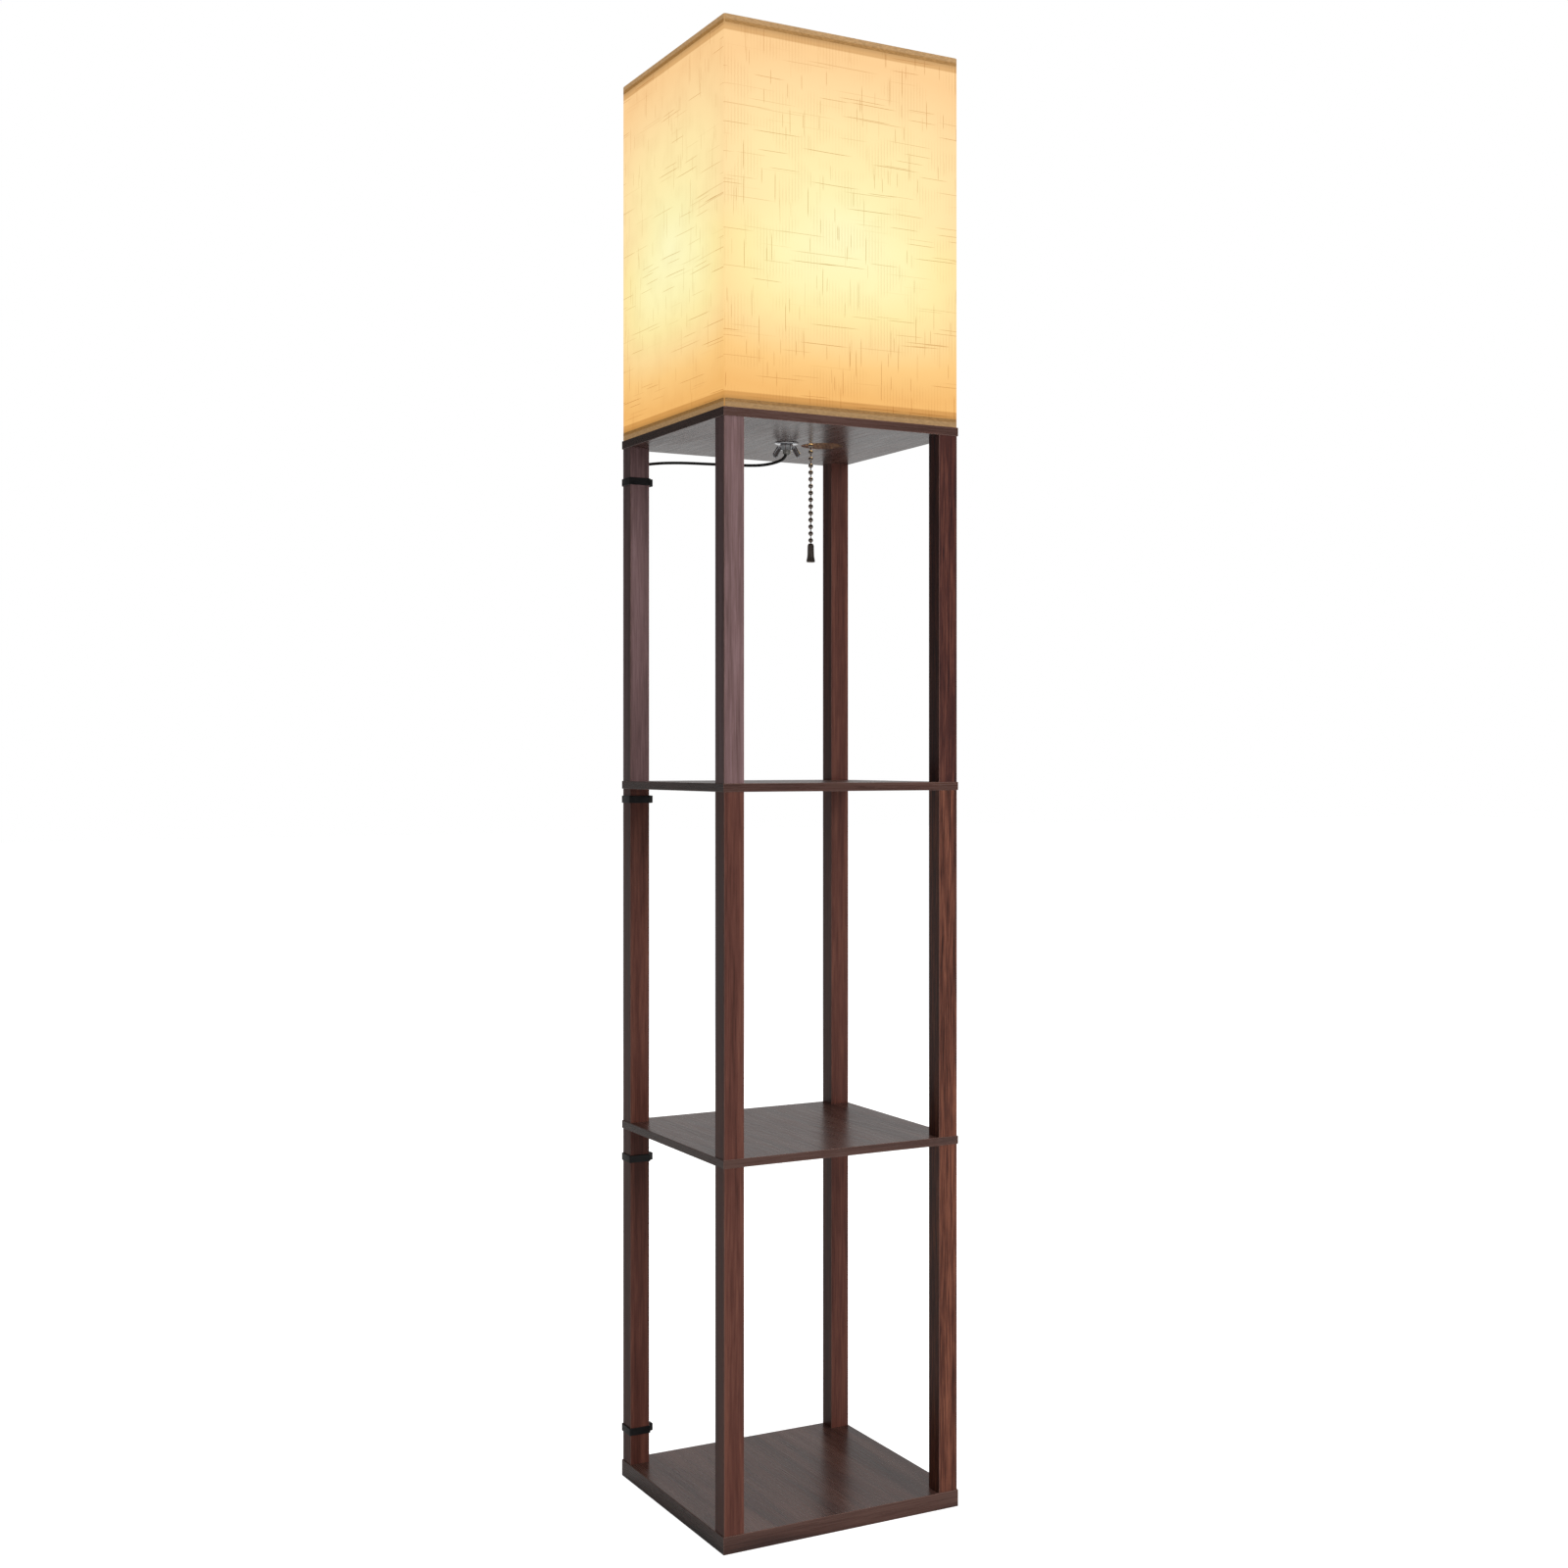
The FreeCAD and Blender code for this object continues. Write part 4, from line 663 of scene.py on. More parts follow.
clamp = {
    "tube": {"outer": 0.0049, "bore": 0.0035, "low": 1.1695, "high": 1.2563, "pitch": 0.001, "depth": 0.00042},
    "washer": {"radius": 0.0135, "bore": 0.0050, "low": 1.1810, "thick": 0.0015},
    "nut": {"foot": 1.1740, "bore": 0.0050, "turn": 149.5, "halfThick": 0.0012, "rim": 0.00115},
}
tube = clamp["tube"]
makePiece("threadedTube", [threadPart(tube["outer"], tube["depth"], tube["pitch"], tube["bore"], tube["low"],
                                      tube["high"], around=32, perPitch=4)], zinc, "lamp",
          ["threaded_tube"], sharpAngle=50)
washer = clamp["washer"]
rim, bore = washer["radius"], washer["bore"]
makePiece("underWasher", [lathePart([(bore, 0.0003), (bore + 0.0006, 0.0), (rim - 0.0022, 0.0), (rim - 0.0008, 0.0003),
                                     (rim - 0.0001, 0.0007), (rim, 0.0010), (rim - 0.0002, 0.0013),
                                     (rim - 0.0006, 0.0015), (bore, 0.0015)], z=washer["low"], around=64)],
          chrome, "lamp", ["under_washer"])

nut = clamp["nut"]
hub = lathePart([(0.0050, 0.0004), (0.0054, 0.0), (0.0060, 0.0), (0.0065, 0.0004), (0.0068, 0.0030), (0.0072, 0.0044),
                 (0.0074, 0.0052), (0.0074, 0.0066), (0.0070, 0.0070), (0.0054, 0.0070), (0.0050, 0.0066)],
                z=nut["foot"], around=48)
# each wing: a cast ear that leaves the hub high up, slopes out and down and curls back under, with a raised rim
ear = np.array([(0.0060, 0.0008), (0.0101, -0.0072), (0.0119, -0.0090), (0.0145, -0.0077), (0.0158, -0.0040),
                (0.0101, 0.0054), (0.0060, 0.0038)])
spin = math.radians(nut["turn"])
parts = [hub]
for flip in (0.0, math.pi):
    angle = spin + flip
    outline, out = roundedLoop(ear, 0.0007, steps=5)

    def standUp(p, angle=angle):
        return np.column_stack([p[:, 0] * math.cos(angle) - p[:, 2] * math.sin(angle),
                                p[:, 0] * math.sin(angle) + p[:, 2] * math.cos(angle), nut["foot"] + p[:, 1]])

    parts.append(prismPart(outline - out * 0.0010, -0.0006, 0.0006, standUp))
    rimLine = outline - out * nut["rim"]
    parts.append(tubePart(standUp(np.column_stack([rimLine, np.zeros(len(rimLine))])), nut["rim"], closed=True))
makePiece("wingNut", parts, chrome, "nut", ["wing_nut"], sharpAngle=40)
makePiece("cordBushing", [lathePart([(0.00182, 0.0006), (0.0021, 0.0), (0.0032, 0.0), (0.0035, 0.0003),
                                     (0.0035, 0.0077), (0.0032, 0.0080), (0.0021, 0.0080), (0.00182, 0.0074)],
                                    z=1.1755, around=32)], tieNylon, "lamp", ["cord_bushing"])
print("clamp under the top board")

holder = {"flange": 1.1935, "sleeve": 1.2035, "cap": 1.2483, "shell": 1.2673, "block": 1.2933, "arm": 1.2763,
          "chainX": 0.0305}
makePiece("baseFlange", [lathePart([(0.0050, 0.0), (0.0126, 0.0), (0.0130, 0.0004), (0.0130, 0.0016),
                                    (0.0125, 0.0021), (0.0110, 0.0034), (0.0096, 0.0056), (0.0086, 0.0080),
                                    (0.0080, 0.0096), (0.0076, 0.0100), (0.0050, 0.0100)], z=holder["flange"])],
          blackSteel, "lamp", ["base_flange"])
makePiece("riserSleeve", [lathePart([(0.0050, 0.0), (0.0063, 0.0), (0.0065, 0.0003), (0.0065, 0.0445),
                                     (0.0063, 0.0448), (0.0050, 0.0448)], z=holder["sleeve"])],
          blackSteel, "lamp", ["riser_sleeve"])
makePiece("socketCap", [lathePart([(0.0050, 0.0), (0.0083, 0.0), (0.0088, 0.0005), (0.0105, 0.0020),
                                   (0.0134, 0.0047), (0.0159, 0.0079), (0.0171, 0.0102), (0.0175, 0.0122),
                                   (0.0175, 0.0150), (0.0171, 0.0156), (0.0175, 0.0162), (0.0175, 0.0190),
                                   (0.0165, 0.0190), (0.0165, 0.0115), (0.0079, 0.0015), (0.0050, 0.0015)],
                                  z=holder["cap"], around=64)], brass, "lamp", ["socket_cap"])
makePiece("socketShell", [lathePart([(0.0165, 0.0), (0.0172, 0.0), (0.0175, 0.0004), (0.0175, 0.0036),
                                     (0.0171, 0.0042), (0.0175, 0.0048), (0.0175, 0.0260), (0.0172, 0.0268),
                                     (0.0175, 0.0276), (0.0175, 0.0452), (0.0172, 0.0460), (0.0167, 0.0459),
                                     (0.0165, 0.0455)], z=holder["shell"], around=64)], brass, "lamp",
          ["socket_shell"])
makePiece("socketLiner", [lathePart([(0.0156, 0.0), (0.0164, 0.0), (0.0164, 0.0190), (0.0156, 0.0190)],
                                    z=holder["block"], around=48)], card, "lamp", ["socket_liner"])
# rolled screw shell: the wall waves in and out once every 3.6 mm
height = np.linspace(0.0, 0.018, 61)
wave = 0.00015 * np.sin(2 * math.pi * height / 0.0036)
profile = np.vstack([np.column_stack([0.01365 + wave, height]), np.column_stack([0.01335 + wave, height])[::-1]])
makePiece("screwShell", [lathePart(profile, z=holder["block"], around=48)], brass, "lamp",
          ["screw_shell"], sharpAngle=60)

# the switch arm: a stub that seats in the socket and a bell mouth that points down
chainX = holder["chainX"]
stubRadius = np.array([(0.0, 0.0), (0.0040, 0.0), (0.0040, 0.0046), (0.0036, 0.0048), (0.0036, 0.0060),
                       (0.0040, 0.0062), (0.0040, 0.0080), (0.0032, 0.0088), (0.0030, 0.0160), (0.0, 0.0160)])
turn = np.linspace(0, 2 * math.pi, 32, endpoint=False)[None, :]
stub = np.stack([0.0124 + stubRadius[:, 1:] + 0 * turn, stubRadius[:, :1] * np.cos(turn),
                 holder["arm"] + stubRadius[:, :1] * np.sin(turn)], axis=-1)
mouthProfile = [(0.00065, 0.0), (0.0026, 0.0), (0.0031, 0.0003), (0.0034, 0.0009), (0.0033, 0.0016), (0.0028, 0.0028),
                (0.0027, 0.0080), (0.0032, 0.0096), (0.0034, 0.0110), (0.0034, 0.0150), (0.0030, 0.0170),
                (0.0018, 0.0179), (0.0, 0.0180), (0.0, 0.0165), (0.00065, 0.0165)]
makePiece("switchArm", [gridPart(stub), lathePart(mouthProfile, x=chainX, z=1.2633, around=32)], brass, "lamp",
          ["switch_arm"])

chain = {"first": 1.2514, "pitch": 0.0077, "count": 25, "ball": 0.00275, "wire": 0.0006, "link": 1.2591}
makePiece("pullLink", ballParts([(chainX, 0.0, chain["link"])], chain["ball"], 24, 16)
          + [lathePart([(0.0, 0.0), (chain["wire"], 0.0), (chain["wire"], 0.0172), (0.0, 0.0172)], x=chainX,
                       z=chain["link"], around=12, closed=False)], nickel, "link", ["pull_link"])


def seatArc(centre, radius, opening, steps=9):
    # (radius, height) round a ball seat, from its lower mouth to its upper one
    limit = math.acos(opening / radius)
    swing = np.linspace(-limit, limit, steps)
    return np.column_stack([radius * np.cos(swing), centre + radius * np.sin(swing)])


barrel = np.array([(0.0031, -0.0022), (0.0036, -0.0020), (0.0039, -0.0014), (0.0039, 0.0022), (0.0036, 0.0026),
                   (0.0036, 0.0051), (0.0039, 0.0055), (0.0039, 0.0091), (0.0036, 0.0097), (0.0031, 0.0099)])
inner = np.vstack([seatArc(0.0, 0.00285, 0.0018), seatArc(0.0077, 0.00285, 0.0018)])[::-1]
makePiece("chainCoupling", [lathePart(np.vstack([barrel, inner]), x=chainX, z=chain["first"], around=32)], nickel,
          "coupling", ["chain_coupling"])
centres = np.column_stack([np.full(25, chainX), np.zeros(25), chain["first"] - chain["pitch"] * np.arange(25)])
last = centres[-1, 2]
makePiece("pullChain", ballParts(centres, chain["ball"], 18, 12)
          + [lathePart([(0.0, 0.0), (chain["wire"], 0.0), (chain["wire"], chain["first"] - last),
                        (0.0, chain["first"] - last)], x=chainX, z=last, around=10, closed=False)], nickel, "chain",
          ["pull_chain"])
makePiece("pullBell", [lathePart([(0.0007, 0.0210), (0.0007, 0.0199), (0.00285, 0.0197), (0.00285, 0.0042),
                                  (0.0040, 0.0006), (0.0042, 0.0), (0.0048, 0.0), (0.0048, 0.0024),
                                  (0.0044, 0.0040), (0.0040, 0.0062), (0.0038, 0.0090), (0.0037, 0.0150),
                                  (0.0036, 0.0185), (0.0032, 0.0198), (0.0024, 0.0210)], x=chainX, z=1.0495,
                                 around=40)], nickel, "chain", ["pull_bell"])
print("lamp holder, switch arm and chain")


# bulb

def litGlass():
    # frosted bulb glass, lit: warm light that is strongest round the middle of the globe
    material, tree = startMaterial("glassFrostedLit")
    place = addNode(tree, "TexCoord")
    frost = addNode(tree, "TexNoise", {"Vector": place.outputs["Object"], "Scale": 1400.0, "Detail": 2.0})
    parts = addNode(tree, "SeparateXYZ", {0: place.outputs["Object"]})
    high = addNode(tree, "MapRange", {"Value": parts.outputs["Z"], "From Min": 1.325, "From Max": 1.372,
                                      "To Min": 0.45, "To Max": 1.0})
    warm = addNode(tree, "ValToRGB", {"Fac": high.outputs[0]}, [(0.4, "ffc47a"), (1.0, "fff0cf")])
    bright = addNode(tree, "Math", {0: high.outputs[0], 1: 9.0}, operation="MULTIPLY")
    dent = addNode(tree, "Bump", {"Height": frost, "Strength": 0.2, "Distance": 0.0001})
    skin = addNode(tree, "BsdfPrincipled", {"Base Color": linear("fff3dc"), "Roughness": 0.4, "Normal": dent,
                                            "Emission Color": warm, "Emission Strength": bright})
    addNode(tree, "OutputMaterial", {"Surface": skin})
    return material


bulb = {"foot": 1.2954, "base": 0.0240, "thread": 0.0131, "radius": 0.0300, "centre": 1.3734}
coneProfile = np.array([(0.0, 0.0), (0.0030, 0.0), (0.0035, 0.0004), (0.0038, 0.0012), (0.0050, 0.0017),
                        (0.0095, 0.0030), (0.0112, 0.0034)])
rollHeight = np.linspace(0.0050, 0.0205, 53)
roll = 0.0127 + 0.0004 * np.cos(2 * math.pi * (rollHeight - 0.0050) / 0.0036)
neckRing = np.array([(0.0129, 0.0212), (0.0131, 0.0220), (0.0131, 0.0240), (0.0, 0.0240)])
makePiece("bulbBase", [lathePart(np.vstack([coneProfile, np.column_stack([roll, rollHeight]), neckRing]),
                                 z=bulb["foot"], around=48, closed=False)], aluminium, "bulb",
          ["bulb_base"], sharpAngle=50)
# globe, then a flank that narrows smoothly to the neck: Hermite blend from the shoulder to the neck's rim
shoulder = math.radians(-38)
polar = np.linspace(math.pi / 2, shoulder, 28)
globe = np.column_stack([bulb["radius"] * np.cos(polar), bulb["centre"] + bulb["radius"] * np.sin(polar)])
start, end = globe[-1], np.array([0.0127, bulb["foot"] + bulb["base"] + 0.008])
t = np.linspace(0, 1, 16)[1:, None]
poles = [start, start + np.array([math.sin(shoulder), -math.cos(shoulder)]) * bulb["radius"] * 0.55,
         end + np.array([0.0, 0.008]), end]
flank = ((1 - t) ** 3 * poles[0] + 3 * (1 - t) ** 2 * t * poles[1] + 3 * (1 - t) * t ** 2 * poles[2]
         + t ** 3 * poles[3])
foot = bulb["foot"] + bulb["base"]
glass = np.vstack([globe, flank, [(0.0127, foot), (0.0, foot)]])
makePiece("bulbGlass", [lathePart(glass, around=56, closed=False)], litGlass(), "bulb",
          ["bulb_glass"], sharpAngle=50)
print("bulb")


# shade

shade = {
    "half": 0.1405, "thick": 0.0006, "corner": 0.0016, "low": 1.1925, "high": 1.5995,
    "wave": 0.00022,
    "trimHalf": 0.1410, "trimHigh": 0.0090, "foot": 1.1920, "top": 1.6000,
}


glow = {                    # the cloth's colour against q, see shadeGlow
    "level": 1.385, "below": [(0.0, "fff9c4"), (0.316, "fff5b8"), (0.49, "feeba8"), (0.66, "fedb99"), (0.805, "fccc82"),
                              (0.9775, "f5bc6f")],
    "above": [(0.0, "fff9c4"), (0.19, "fdf2b6"), (0.32, "ffedb0"), (0.49, "ffe7ab"), (0.66, "fedba1"), (0.81, "fcd095")],
}


def shadeGlow(tree, place):
    # how the bulb's light falls off over the cloth: q = (h^3.5 + d^3.5)^(1/3.5), where h is 4.1 times the smaller of
    # |x| and |y|, and d is 5.75 times the depth below the bulb's level or 4.25 times the height above it, in metres
    away = addNode(tree, "VectorMath", {0: place.outputs["Object"]}, operation="ABSOLUTE")
    parts = addNode(tree, "SeparateXYZ", {0: away})
    nearer = addNode(tree, "Math", {0: parts.outputs["X"], 1: parts.outputs["Y"]}, operation="MINIMUM")
    across = addNode(tree, "Math", {0: nearer, 1: 4.1}, operation="MULTIPLY")
    rise = addNode(tree, "Math", {0: parts.outputs["Z"], 1: glow["level"]}, operation="SUBTRACT")
    upper = addNode(tree, "Math", {0: rise, 1: 4.25}, operation="MULTIPLY")
    lower = addNode(tree, "Math", {0: rise, 1: -5.75}, operation="MULTIPLY")
    upright = addNode(tree, "Math", {0: upper, 1: lower}, operation="MAXIMUM")
    acrossPart = addNode(tree, "Math", {0: across, 1: 3.5}, operation="POWER")
    uprightPart = addNode(tree, "Math", {0: upright, 1: 3.5}, operation="POWER")
    both = addNode(tree, "Math", {0: acrossPart, 1: uprightPart}, operation="ADD")
    q = addNode(tree, "Math", {0: both, 1: 1 / 3.5}, operation="POWER")
    below = addNode(tree, "ValToRGB", {"Fac": q}, glow["below"])
    above = addNode(tree, "ValToRGB", {"Fac": q}, glow["above"])
    side = addNode(tree, "MapRange", {"Value": rise, "From Min": -0.01, "From Max": 0.03})
    return addNode(tree, "Mix", {0: side, 6: below, 7: above}, data_type="RGBA").outputs[2]


weave = {
    # thick yarns: whether along the weft, millimetres across and long, share of places that have one, how dark
    "yarns": [(True, 0.6, 62.0, 0.014, 1.0), (True, 0.6, 38.0, 0.014, 0.8), (True, 0.9, 90.0, 0.008, 0.5),
              (False, 0.6, 34.0, 0.010, 1.0), (False, 0.6, 18.0, 0.014, 0.8)],
    "yarnTint": "d6c0aa",
    "threadScale": 85.0,    # a thread every 3.7 mm
}


def linenCloth():
    # linen, plain woven, lit from behind: thicker yarns show as browner lines about 1 mm wide, 40 to 90 mm long along
    # the weft and 20 to 35 mm along the warp; the warp's own threads are 0.6 mm apart and are drawn at 3.7 mm so that
    # they show, in patches
    material, tree = startMaterial("linenWoven")
    place = addNode(tree, "TexCoord")
    flat = addNode(tree, "UVMap", uv_map="flat")
    # the yarns wander by a few millimetres
    wander = addNode(tree, "TexNoise", {"Vector": flat, "Scale": 9.0, "Detail": 1.0})
    drifted = addNode(tree, "VectorMath", {0: wander.outputs["Color"], 1: (0.0035, 0.0035, 0.0), 2: flat},
                      operation="MULTIPLY_ADD")
    way = addNode(tree, "SeparateXYZ", {0: drifted})
    slub = None
    for seed, (alongWeft, wide, long, share, dark) in enumerate(weave["yarns"]):
        # rows one yarn wide, cut into lengths that start at a random place; some lengths are dark, with soft ends
        along, across = ("X", "Y") if alongWeft else ("Y", "X")
        rows = addNode(tree, "Math", {0: way.outputs[across], 1: 1000 / wide, 2: 700.0 * seed}, operation="MULTIPLY_ADD")
        row = addNode(tree, "Math", {0: rows}, operation="FLOOR")
        start = addNode(tree, "TexWhiteNoise", {"W": row}, noise_dimensions="1D")
        shift = addNode(tree, "Math", {0: start, 1: 9.0}, operation="MULTIPLY")
        spot = addNode(tree, "Math", {0: way.outputs[along], 1: 1000 / long, 2: shift}, operation="MULTIPLY_ADD")
        length = addNode(tree, "Math", {0: spot}, operation="FLOOR")
        pick = addNode(tree, "TexWhiteNoise", {"Vector": addNode(tree, "CombineXYZ", {"X": length, "Y": row})},
                       noise_dimensions="2D")
        chosen = addNode(tree, "MapRange", {"Value": pick, "From Min": 1 - share, "From Max": 1 - share * 0.3,
                                            "To Max": dark})
        end = addNode(tree, "Math", {0: spot, 1: 0.5}, operation="PINGPONG")
        soft = addNode(tree, "MapRange", {"Value": end, "From Max": 0.2})
        line = addNode(tree, "Math", {0: chosen, 1: soft}, operation="MULTIPLY")
        slub = addNode(tree, "Math", {0: slub, 1: line}, operation="MAXIMUM") if slub else line
    patches = addNode(tree, "TexNoise", {"Vector": flat, "Scale": 30.0, "Detail": 1.0})
    shown = addNode(tree, "MapRange", {"Value": patches, "From Min": 0.45, "From Max": 0.62, "To Max": 0.24})
    threads = addNode(tree, "TexWave", {"Vector": flat, "Scale": weave["threadScale"], "Distortion": 0.8, "Detail": 1.0,
                                        "Detail Scale": 3.0}, wave_type="BANDS", bands_direction="X")
    crest = addNode(tree, "Math", {0: threads.outputs["Fac"], 1: 3.0}, operation="POWER")
    stripes = addNode(tree, "Math", {0: shown, 1: crest}, operation="MULTIPLY")
    slub = addNode(tree, "Math", {0: slub, 1: stripes}, operation="MAXIMUM")
    lined = addNode(tree, "Mix", {0: slub, 6: shadeGlow(tree, place), 7: linear(weave["yarnTint"])}, data_type="RGBA",
                    blend_type="MULTIPLY")
    # the cloth is folded double behind the trims, which dims and browns the light, most of all beside the trim
    height = addNode(tree, "SeparateXYZ", {0: place.outputs["Object"]})
    rise = addNode(tree, "Math", {0: height.outputs["Z"], 1: (shade["foot"] + shade["top"]) / 2}, operation="SUBTRACT")
    away = addNode(tree, "Math", {0: rise}, operation="ABSOLUTE")
    fromEdge = addNode(tree, "Math", {0: (shade["top"] - shade["foot"]) / 2, 1: away}, operation="SUBTRACT")
    folded = addNode(tree, "MapRange", {"Value": fromEdge, "From Min": 0.0158, "From Max": 0.0172, "To Min": 1.0,
                                        "To Max": 0.0})
    browned = addNode(tree, "Mix", {0: folded, 6: lined.outputs[2], 7: linear("e0d5c6")}, data_type="RGBA",
                      blend_type="MULTIPLY")
    beside = addNode(tree, "MapRange", {"Value": fromEdge, "From Min": 0.0088, "From Max": 0.0135, "To Min": 0.73,
                                        "To Max": 0.985})
    dent = addNode(tree, "Bump", {"Height": slub, "Strength": 0.5, "Distance": 0.0002})
    base = addNode(tree, "ValToRGB", {"Fac": slub}, [(0.0, "3a2f24"), (1.0, "2f2418")])
    skin = addNode(tree, "BsdfPrincipled", {"Base Color": base, "Roughness": 0.9, "Normal": dent,
                                            "Specular IOR Level": 0.15, "Emission Color": browned.outputs[2],
                                            "Emission Strength": beside})
    addNode(tree, "OutputMaterial", {"Surface": skin})
    return material


def linenTape():
    # linen tape folded over the edge, tan, dimly lit from behind, with a darker band along its inner side: the turned
    # edge's extra layers let less light through, painted as a shadow line
    material, tree = startMaterial("linenTapeFolded")
    place = addNode(tree, "TexCoord")
    parts = addNode(tree, "SeparateXYZ", {0: place.outputs["Object"]})
    middle = (shade["foot"] + shade["top"]) / 2
    away = addNode(tree, "Math", {0: parts.outputs["Z"], 1: middle}, operation="SUBTRACT")
    away = addNode(tree, "Math", {0: away}, operation="ABSOLUTE")
    fromEdge = addNode(tree, "Math", {0: (shade["top"] - shade["foot"]) / 2, 1: away}, operation="SUBTRACT")
    # the inner band of the tape is darker: a painted shadow line along the turned edge
    step = addNode(tree, "MapRange", {"Value": fromEdge, "From Min": 0.0045, "From Max": 0.0062})
    spread = addNode(tree, "Mapping", {"Vector": place.outputs["Object"], "Scale": (260.0, 260.0, 900.0)})
    thread = addNode(tree, "TexNoise", {"Vector": spread, "Scale": 1.0, "Detail": 2.0})
    lit = addNode(tree, "ValToRGB", {"Fac": step}, [(0.0, "957652"), (1.0, "845f33")])
    mottle = addNode(tree, "MapRange", {"Value": thread, "From Min": 0.3, "From Max": 0.7, "To Min": 0.8,
                                        "To Max": 1.1})
    dent = addNode(tree, "Bump", {"Height": thread, "Strength": 0.5, "Distance": 0.0003})
    # the top tape is painted brighter, where the bulb's light on the shade is stronger
    high = addNode(tree, "Math", {0: parts.outputs["Z"], 1: middle}, operation="GREATER_THAN")
    higher = addNode(tree, "MapRange", {"Value": high, "To Min": 1.0, "To Max": 1.4})
    mottle = addNode(tree, "Math", {0: mottle, 1: higher}, operation="MULTIPLY")
    base = addNode(tree, "ValToRGB", {"Fac": thread}, [(0.3, "54432f"), (0.7, "65533b")])
    skin = addNode(tree, "BsdfPrincipled", {"Base Color": base, "Roughness": 0.9, "Normal": dent,
                                            "Specular IOR Level": 0.15, "Emission Color": lit,
                                            "Emission Strength": mottle})
    addNode(tree, "OutputMaterial", {"Surface": skin})
    return material


def translucentSheet():
    # white translucent plastic sheet behind the cloth, lit by the bulb
    material, tree = startMaterial("sheetTranslucentWhite")
    place = addNode(tree, "TexCoord")
    cloud = addNode(tree, "TexNoise", {"Vector": place.outputs["Object"], "Scale": 220.0, "Detail": 2.0})
    even = addNode(tree, "MapRange", {"Value": cloud, "To Min": 0.45, "To Max": 0.55})
    gloss = addNode(tree, "MapRange", {"Value": cloud, "To Min": 0.4, "To Max": 0.5})
    skin = addNode(tree, "BsdfPrincipled", {"Base Color": linear("efe8d8"), "Roughness": gloss.outputs[0],
                                            "Emission Color": shadeGlow(tree, place), "Emission Strength": even.outputs[0]})
    addNode(tree, "OutputMaterial", {"Surface": skin})
    return material


cloth = linenCloth()
tape = linenTape()
coat(["shade_panel_front", "shade_panel_rear", "shade_panel_left", "shade_panel_right"], translucentSheet())

# the sleeve of cloth: a rounded square carried upwards, which bellies very slightly between its edges;
# the outer and the inner wall are the two halves of a closed section
half, round_, steps = shade["half"], shade["corner"], 7
clothLoop, clothOut = roundedLoop([(-half, -half), (half, -half), (half, half), (-half, half)], round_, steps)
sideSteps = 24
dense, denseOut = [], []
for k in range(4):
    a = k * steps + steps - 1
    b = (a + 1) % (4 * steps)
    dense.append(clothLoop[k * steps:k * steps + steps])
    denseOut.append(clothOut[k * steps:k * steps + steps])
    t = np.linspace(0, 1, sideSteps + 1)[1:-1, None]
    dense.append(clothLoop[a] + (clothLoop[b] - clothLoop[a]) * t)
    denseOut.append(np.repeat(clothOut[a][None], sideSteps - 1, axis=0))
loopPoints, loopOut = np.vstack(dense), np.vstack(denseOut)
loopPoints, loopOut = np.vstack([loopPoints, loopPoints[:1]]), np.vstack([loopOut, loopOut[:1]])
walk = np.concatenate([[0.0], np.cumsum(np.linalg.norm(np.diff(loopPoints, axis=0), axis=1))])
level = np.linspace(shade["low"], shade["high"], 41)
u, v = np.meshgrid(walk, level, indexing="ij")
edgeFade = np.abs(np.sin(math.pi * (v - shade["low"]) / (shade["high"] - shade["low"]))) ** 0.5
sideFade = np.clip(np.minimum(np.abs(loopPoints).max(axis=1) - np.abs(loopPoints).min(axis=1), 0.03) / 0.03, 0, 1)
belly = shade["wave"] * edgeFade * sideFade[:, None] * (np.sin(u * 41.0) * np.sin(v * 23.0) + np.sin(u * 17.0 + 2))
belly[-1] = belly[0]
outer = np.dstack([loopPoints[:, None, 0] + loopOut[:, None, 0] * belly,
                   loopPoints[:, None, 1] + loopOut[:, None, 1] * belly, v])
inward = belly - shade["thick"]
inner = np.dstack([loopPoints[:, None, 0] + loopOut[:, None, 0] * inward,
                   loopPoints[:, None, 1] + loopOut[:, None, 1] * inward, v])
section = np.concatenate([outer, inner[:, ::-1]], axis=1)
clothUv = np.concatenate([np.dstack([u, v]), np.dstack([u, v])[:, ::-1]], axis=1).reshape(-1, 2)
shadeCloth = makePiece("shadeCloth", [gridPart(section, closeRows=False, closeColumns=True)], cloth, "lamp",
                       ["shade_fabric"], sharpAngle=50, uv=lambda mesh, corner: clothUv[corner])

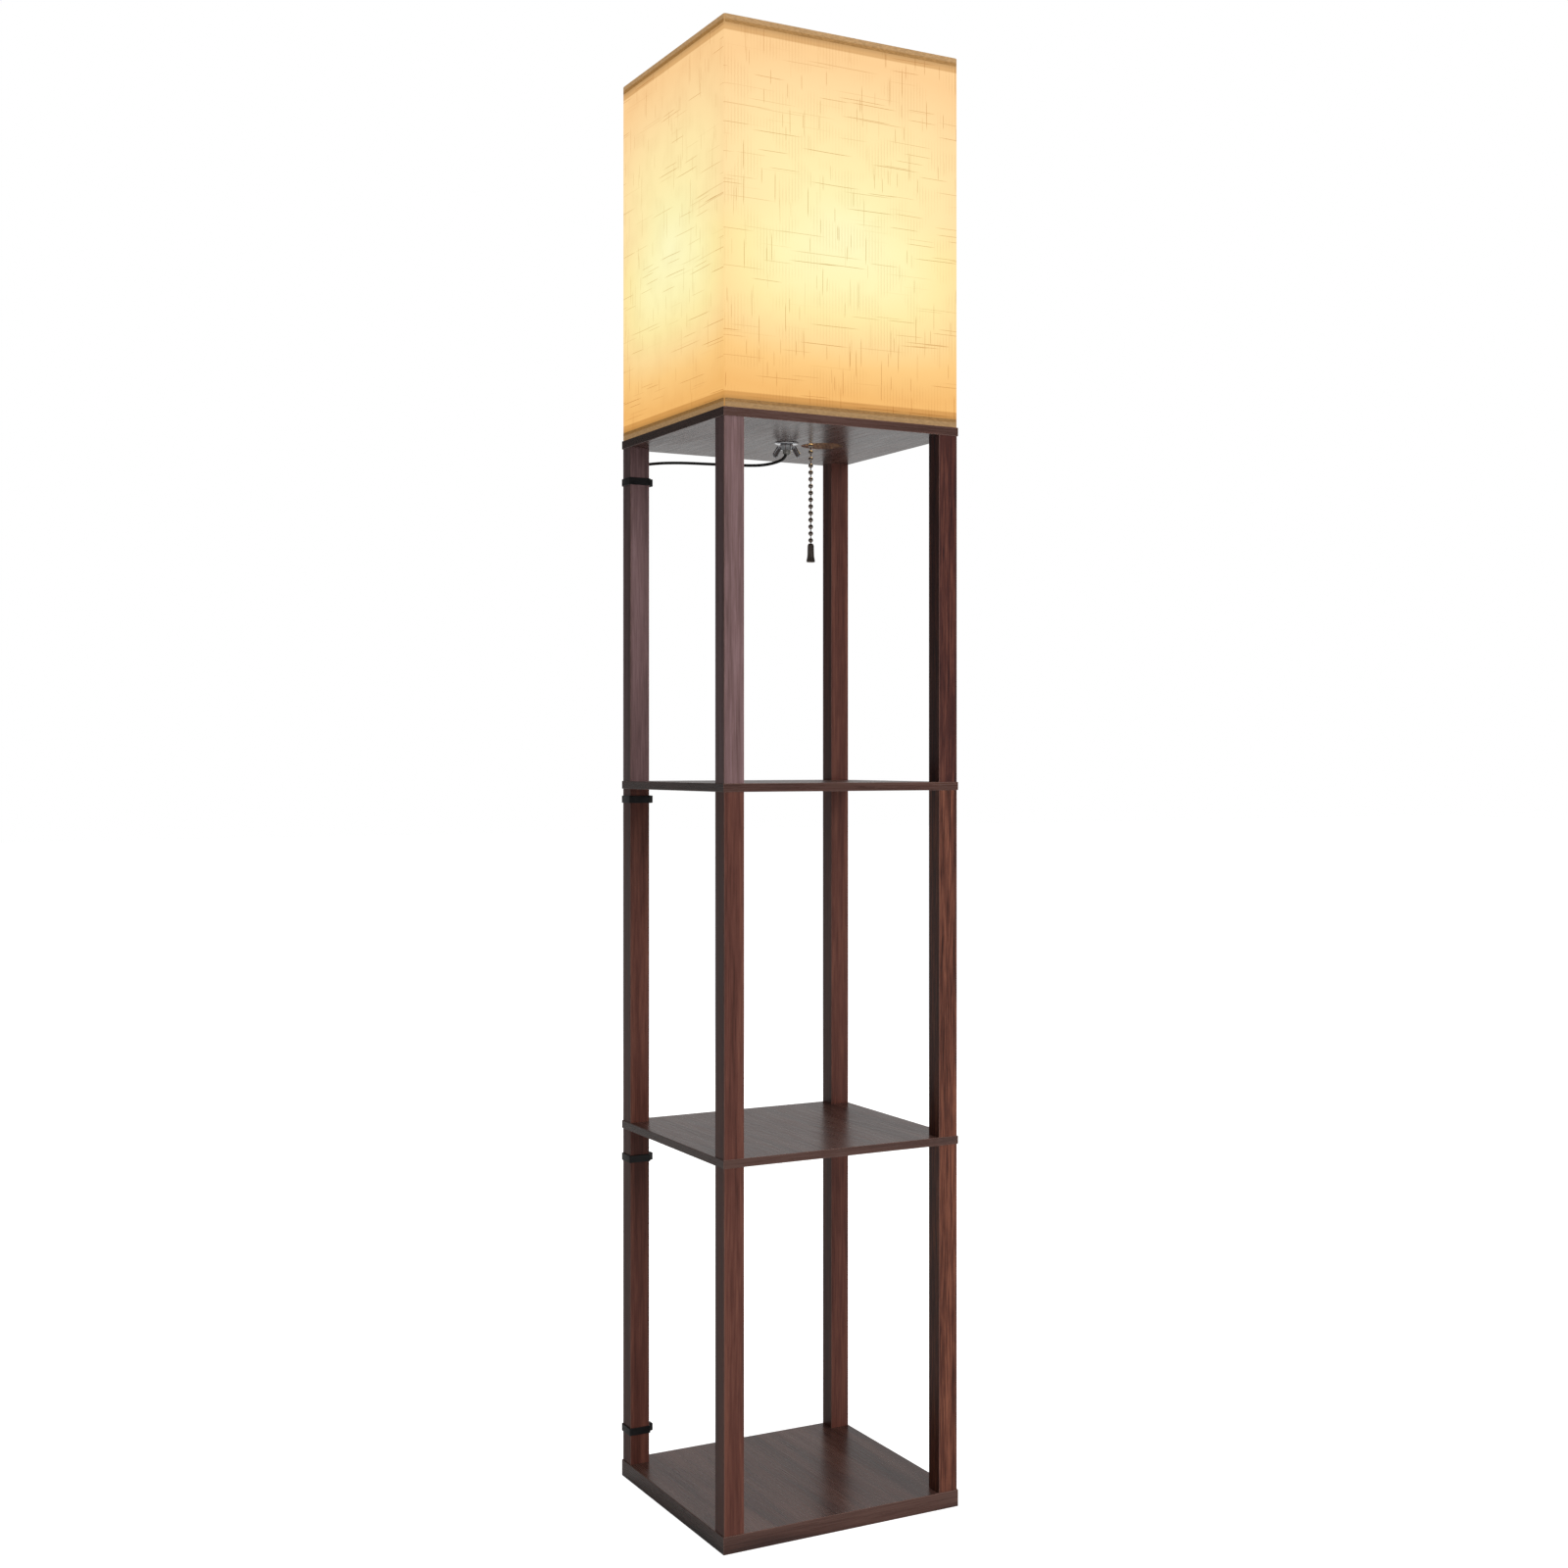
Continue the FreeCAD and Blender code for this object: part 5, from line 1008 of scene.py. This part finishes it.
# folded tape: a rounded channel over the edge of the cloth and the sheet, carried round the square
t0, t1 = shade["trimHalf"], shade["trimHigh"]
tapeSection = np.array([(-0.0024, 0.0012), (-0.0021, 0.0004), (-0.0016, 0.0), (-0.0006, 0.0), (-0.0002, 0.0004),
                        (0.0, 0.0014), (0.0, 0.0046), (-0.00015, 0.0052), (0.0, 0.0058), (-0.00005, 0.0084),
                        (-0.0003, 0.0090), (-0.0005, 0.0090), (-0.0005, 0.0006), (-0.0019, 0.0006), (-0.0019, 0.0045),
                        (-0.0024, 0.0045)])
tapeLoop, tapeOut = roundedLoop([(-t0, -t0), (t0, -t0), (t0, t0), (-t0, t0)], 0.0034, 7)
bottomTape = makePiece("bottomTape", [sleevePart(tapeLoop, tapeOut, tapeSection + [0.0, shade["foot"]])], tape, "lamp",
                       ["bottom_trim"], sharpAngle=50)
topTape = makePiece("topTape", [sleevePart(tapeLoop, tapeOut, tapeSection * [1.0, -1.0] + [0.0, shade["top"]])], tape,
                    "lamp", ["top_trim"], sharpAngle=50)

# wire frames: bent squares, spokes to the ring plate, and rods up the corners
wire = {"half": 0.1375, "corner": 0.008, "radius": 0.0015, "low": 1.1995, "high": 1.5925, "rod": 0.0012,
        "ring": 0.0170, "bore": 0.0050, "plate": 0.0015, "spoke": (0.0142, 1.1947), "diagonal": 0.1911}
h = wire["half"]
wireLoop = roundedLoop([(-h, -h), (h, -h), (h, h), (-h, h)], wire["corner"], 8)[0]
squares = [tubePart(np.column_stack([wireLoop, np.full(len(wireLoop), z)]), wire["radius"], closed=True)
           for z in (wire["low"], wire["high"])]
spokes = []
for k in range(4):
    angle = math.radians(45 + 90 * k)
    reach = np.linspace(wire["spoke"][0], wire["diagonal"], 6)
    rise = np.linspace(wire["spoke"][1], wire["low"], 6)
    spokes.append(tubePart(np.column_stack([reach * math.cos(angle), reach * math.sin(angle), rise]), wire["radius"]))
ringPlate = lathePart([(wire["bore"], 0.0), (wire["ring"] - 0.0004, 0.0), (wire["ring"], 0.0004),
                       (wire["ring"], wire["plate"] - 0.0004), (wire["ring"] - 0.0004, wire["plate"]),
                       (wire["bore"], wire["plate"])], z=shade["foot"])
makePiece("bottomFrame", [squares[0], ringPlate] + spokes, whiteWire, "lamp", ["shade_bottom_frame"])
corner = wire["half"] - wire["corner"] * (1 - math.sqrt(0.5))
rods = [tubePart([(sx * corner, sy * corner, wire["low"] + wire["radius"]), (sx * corner, sy * corner, wire["high"])],
                 wire["rod"]) for sx in (-1, 1) for sy in (-1, 1)]
makePiece("topFrame", [squares[1]] + rods, whiteWire, "lamp", ["shade_top_frame"])
print("shade")
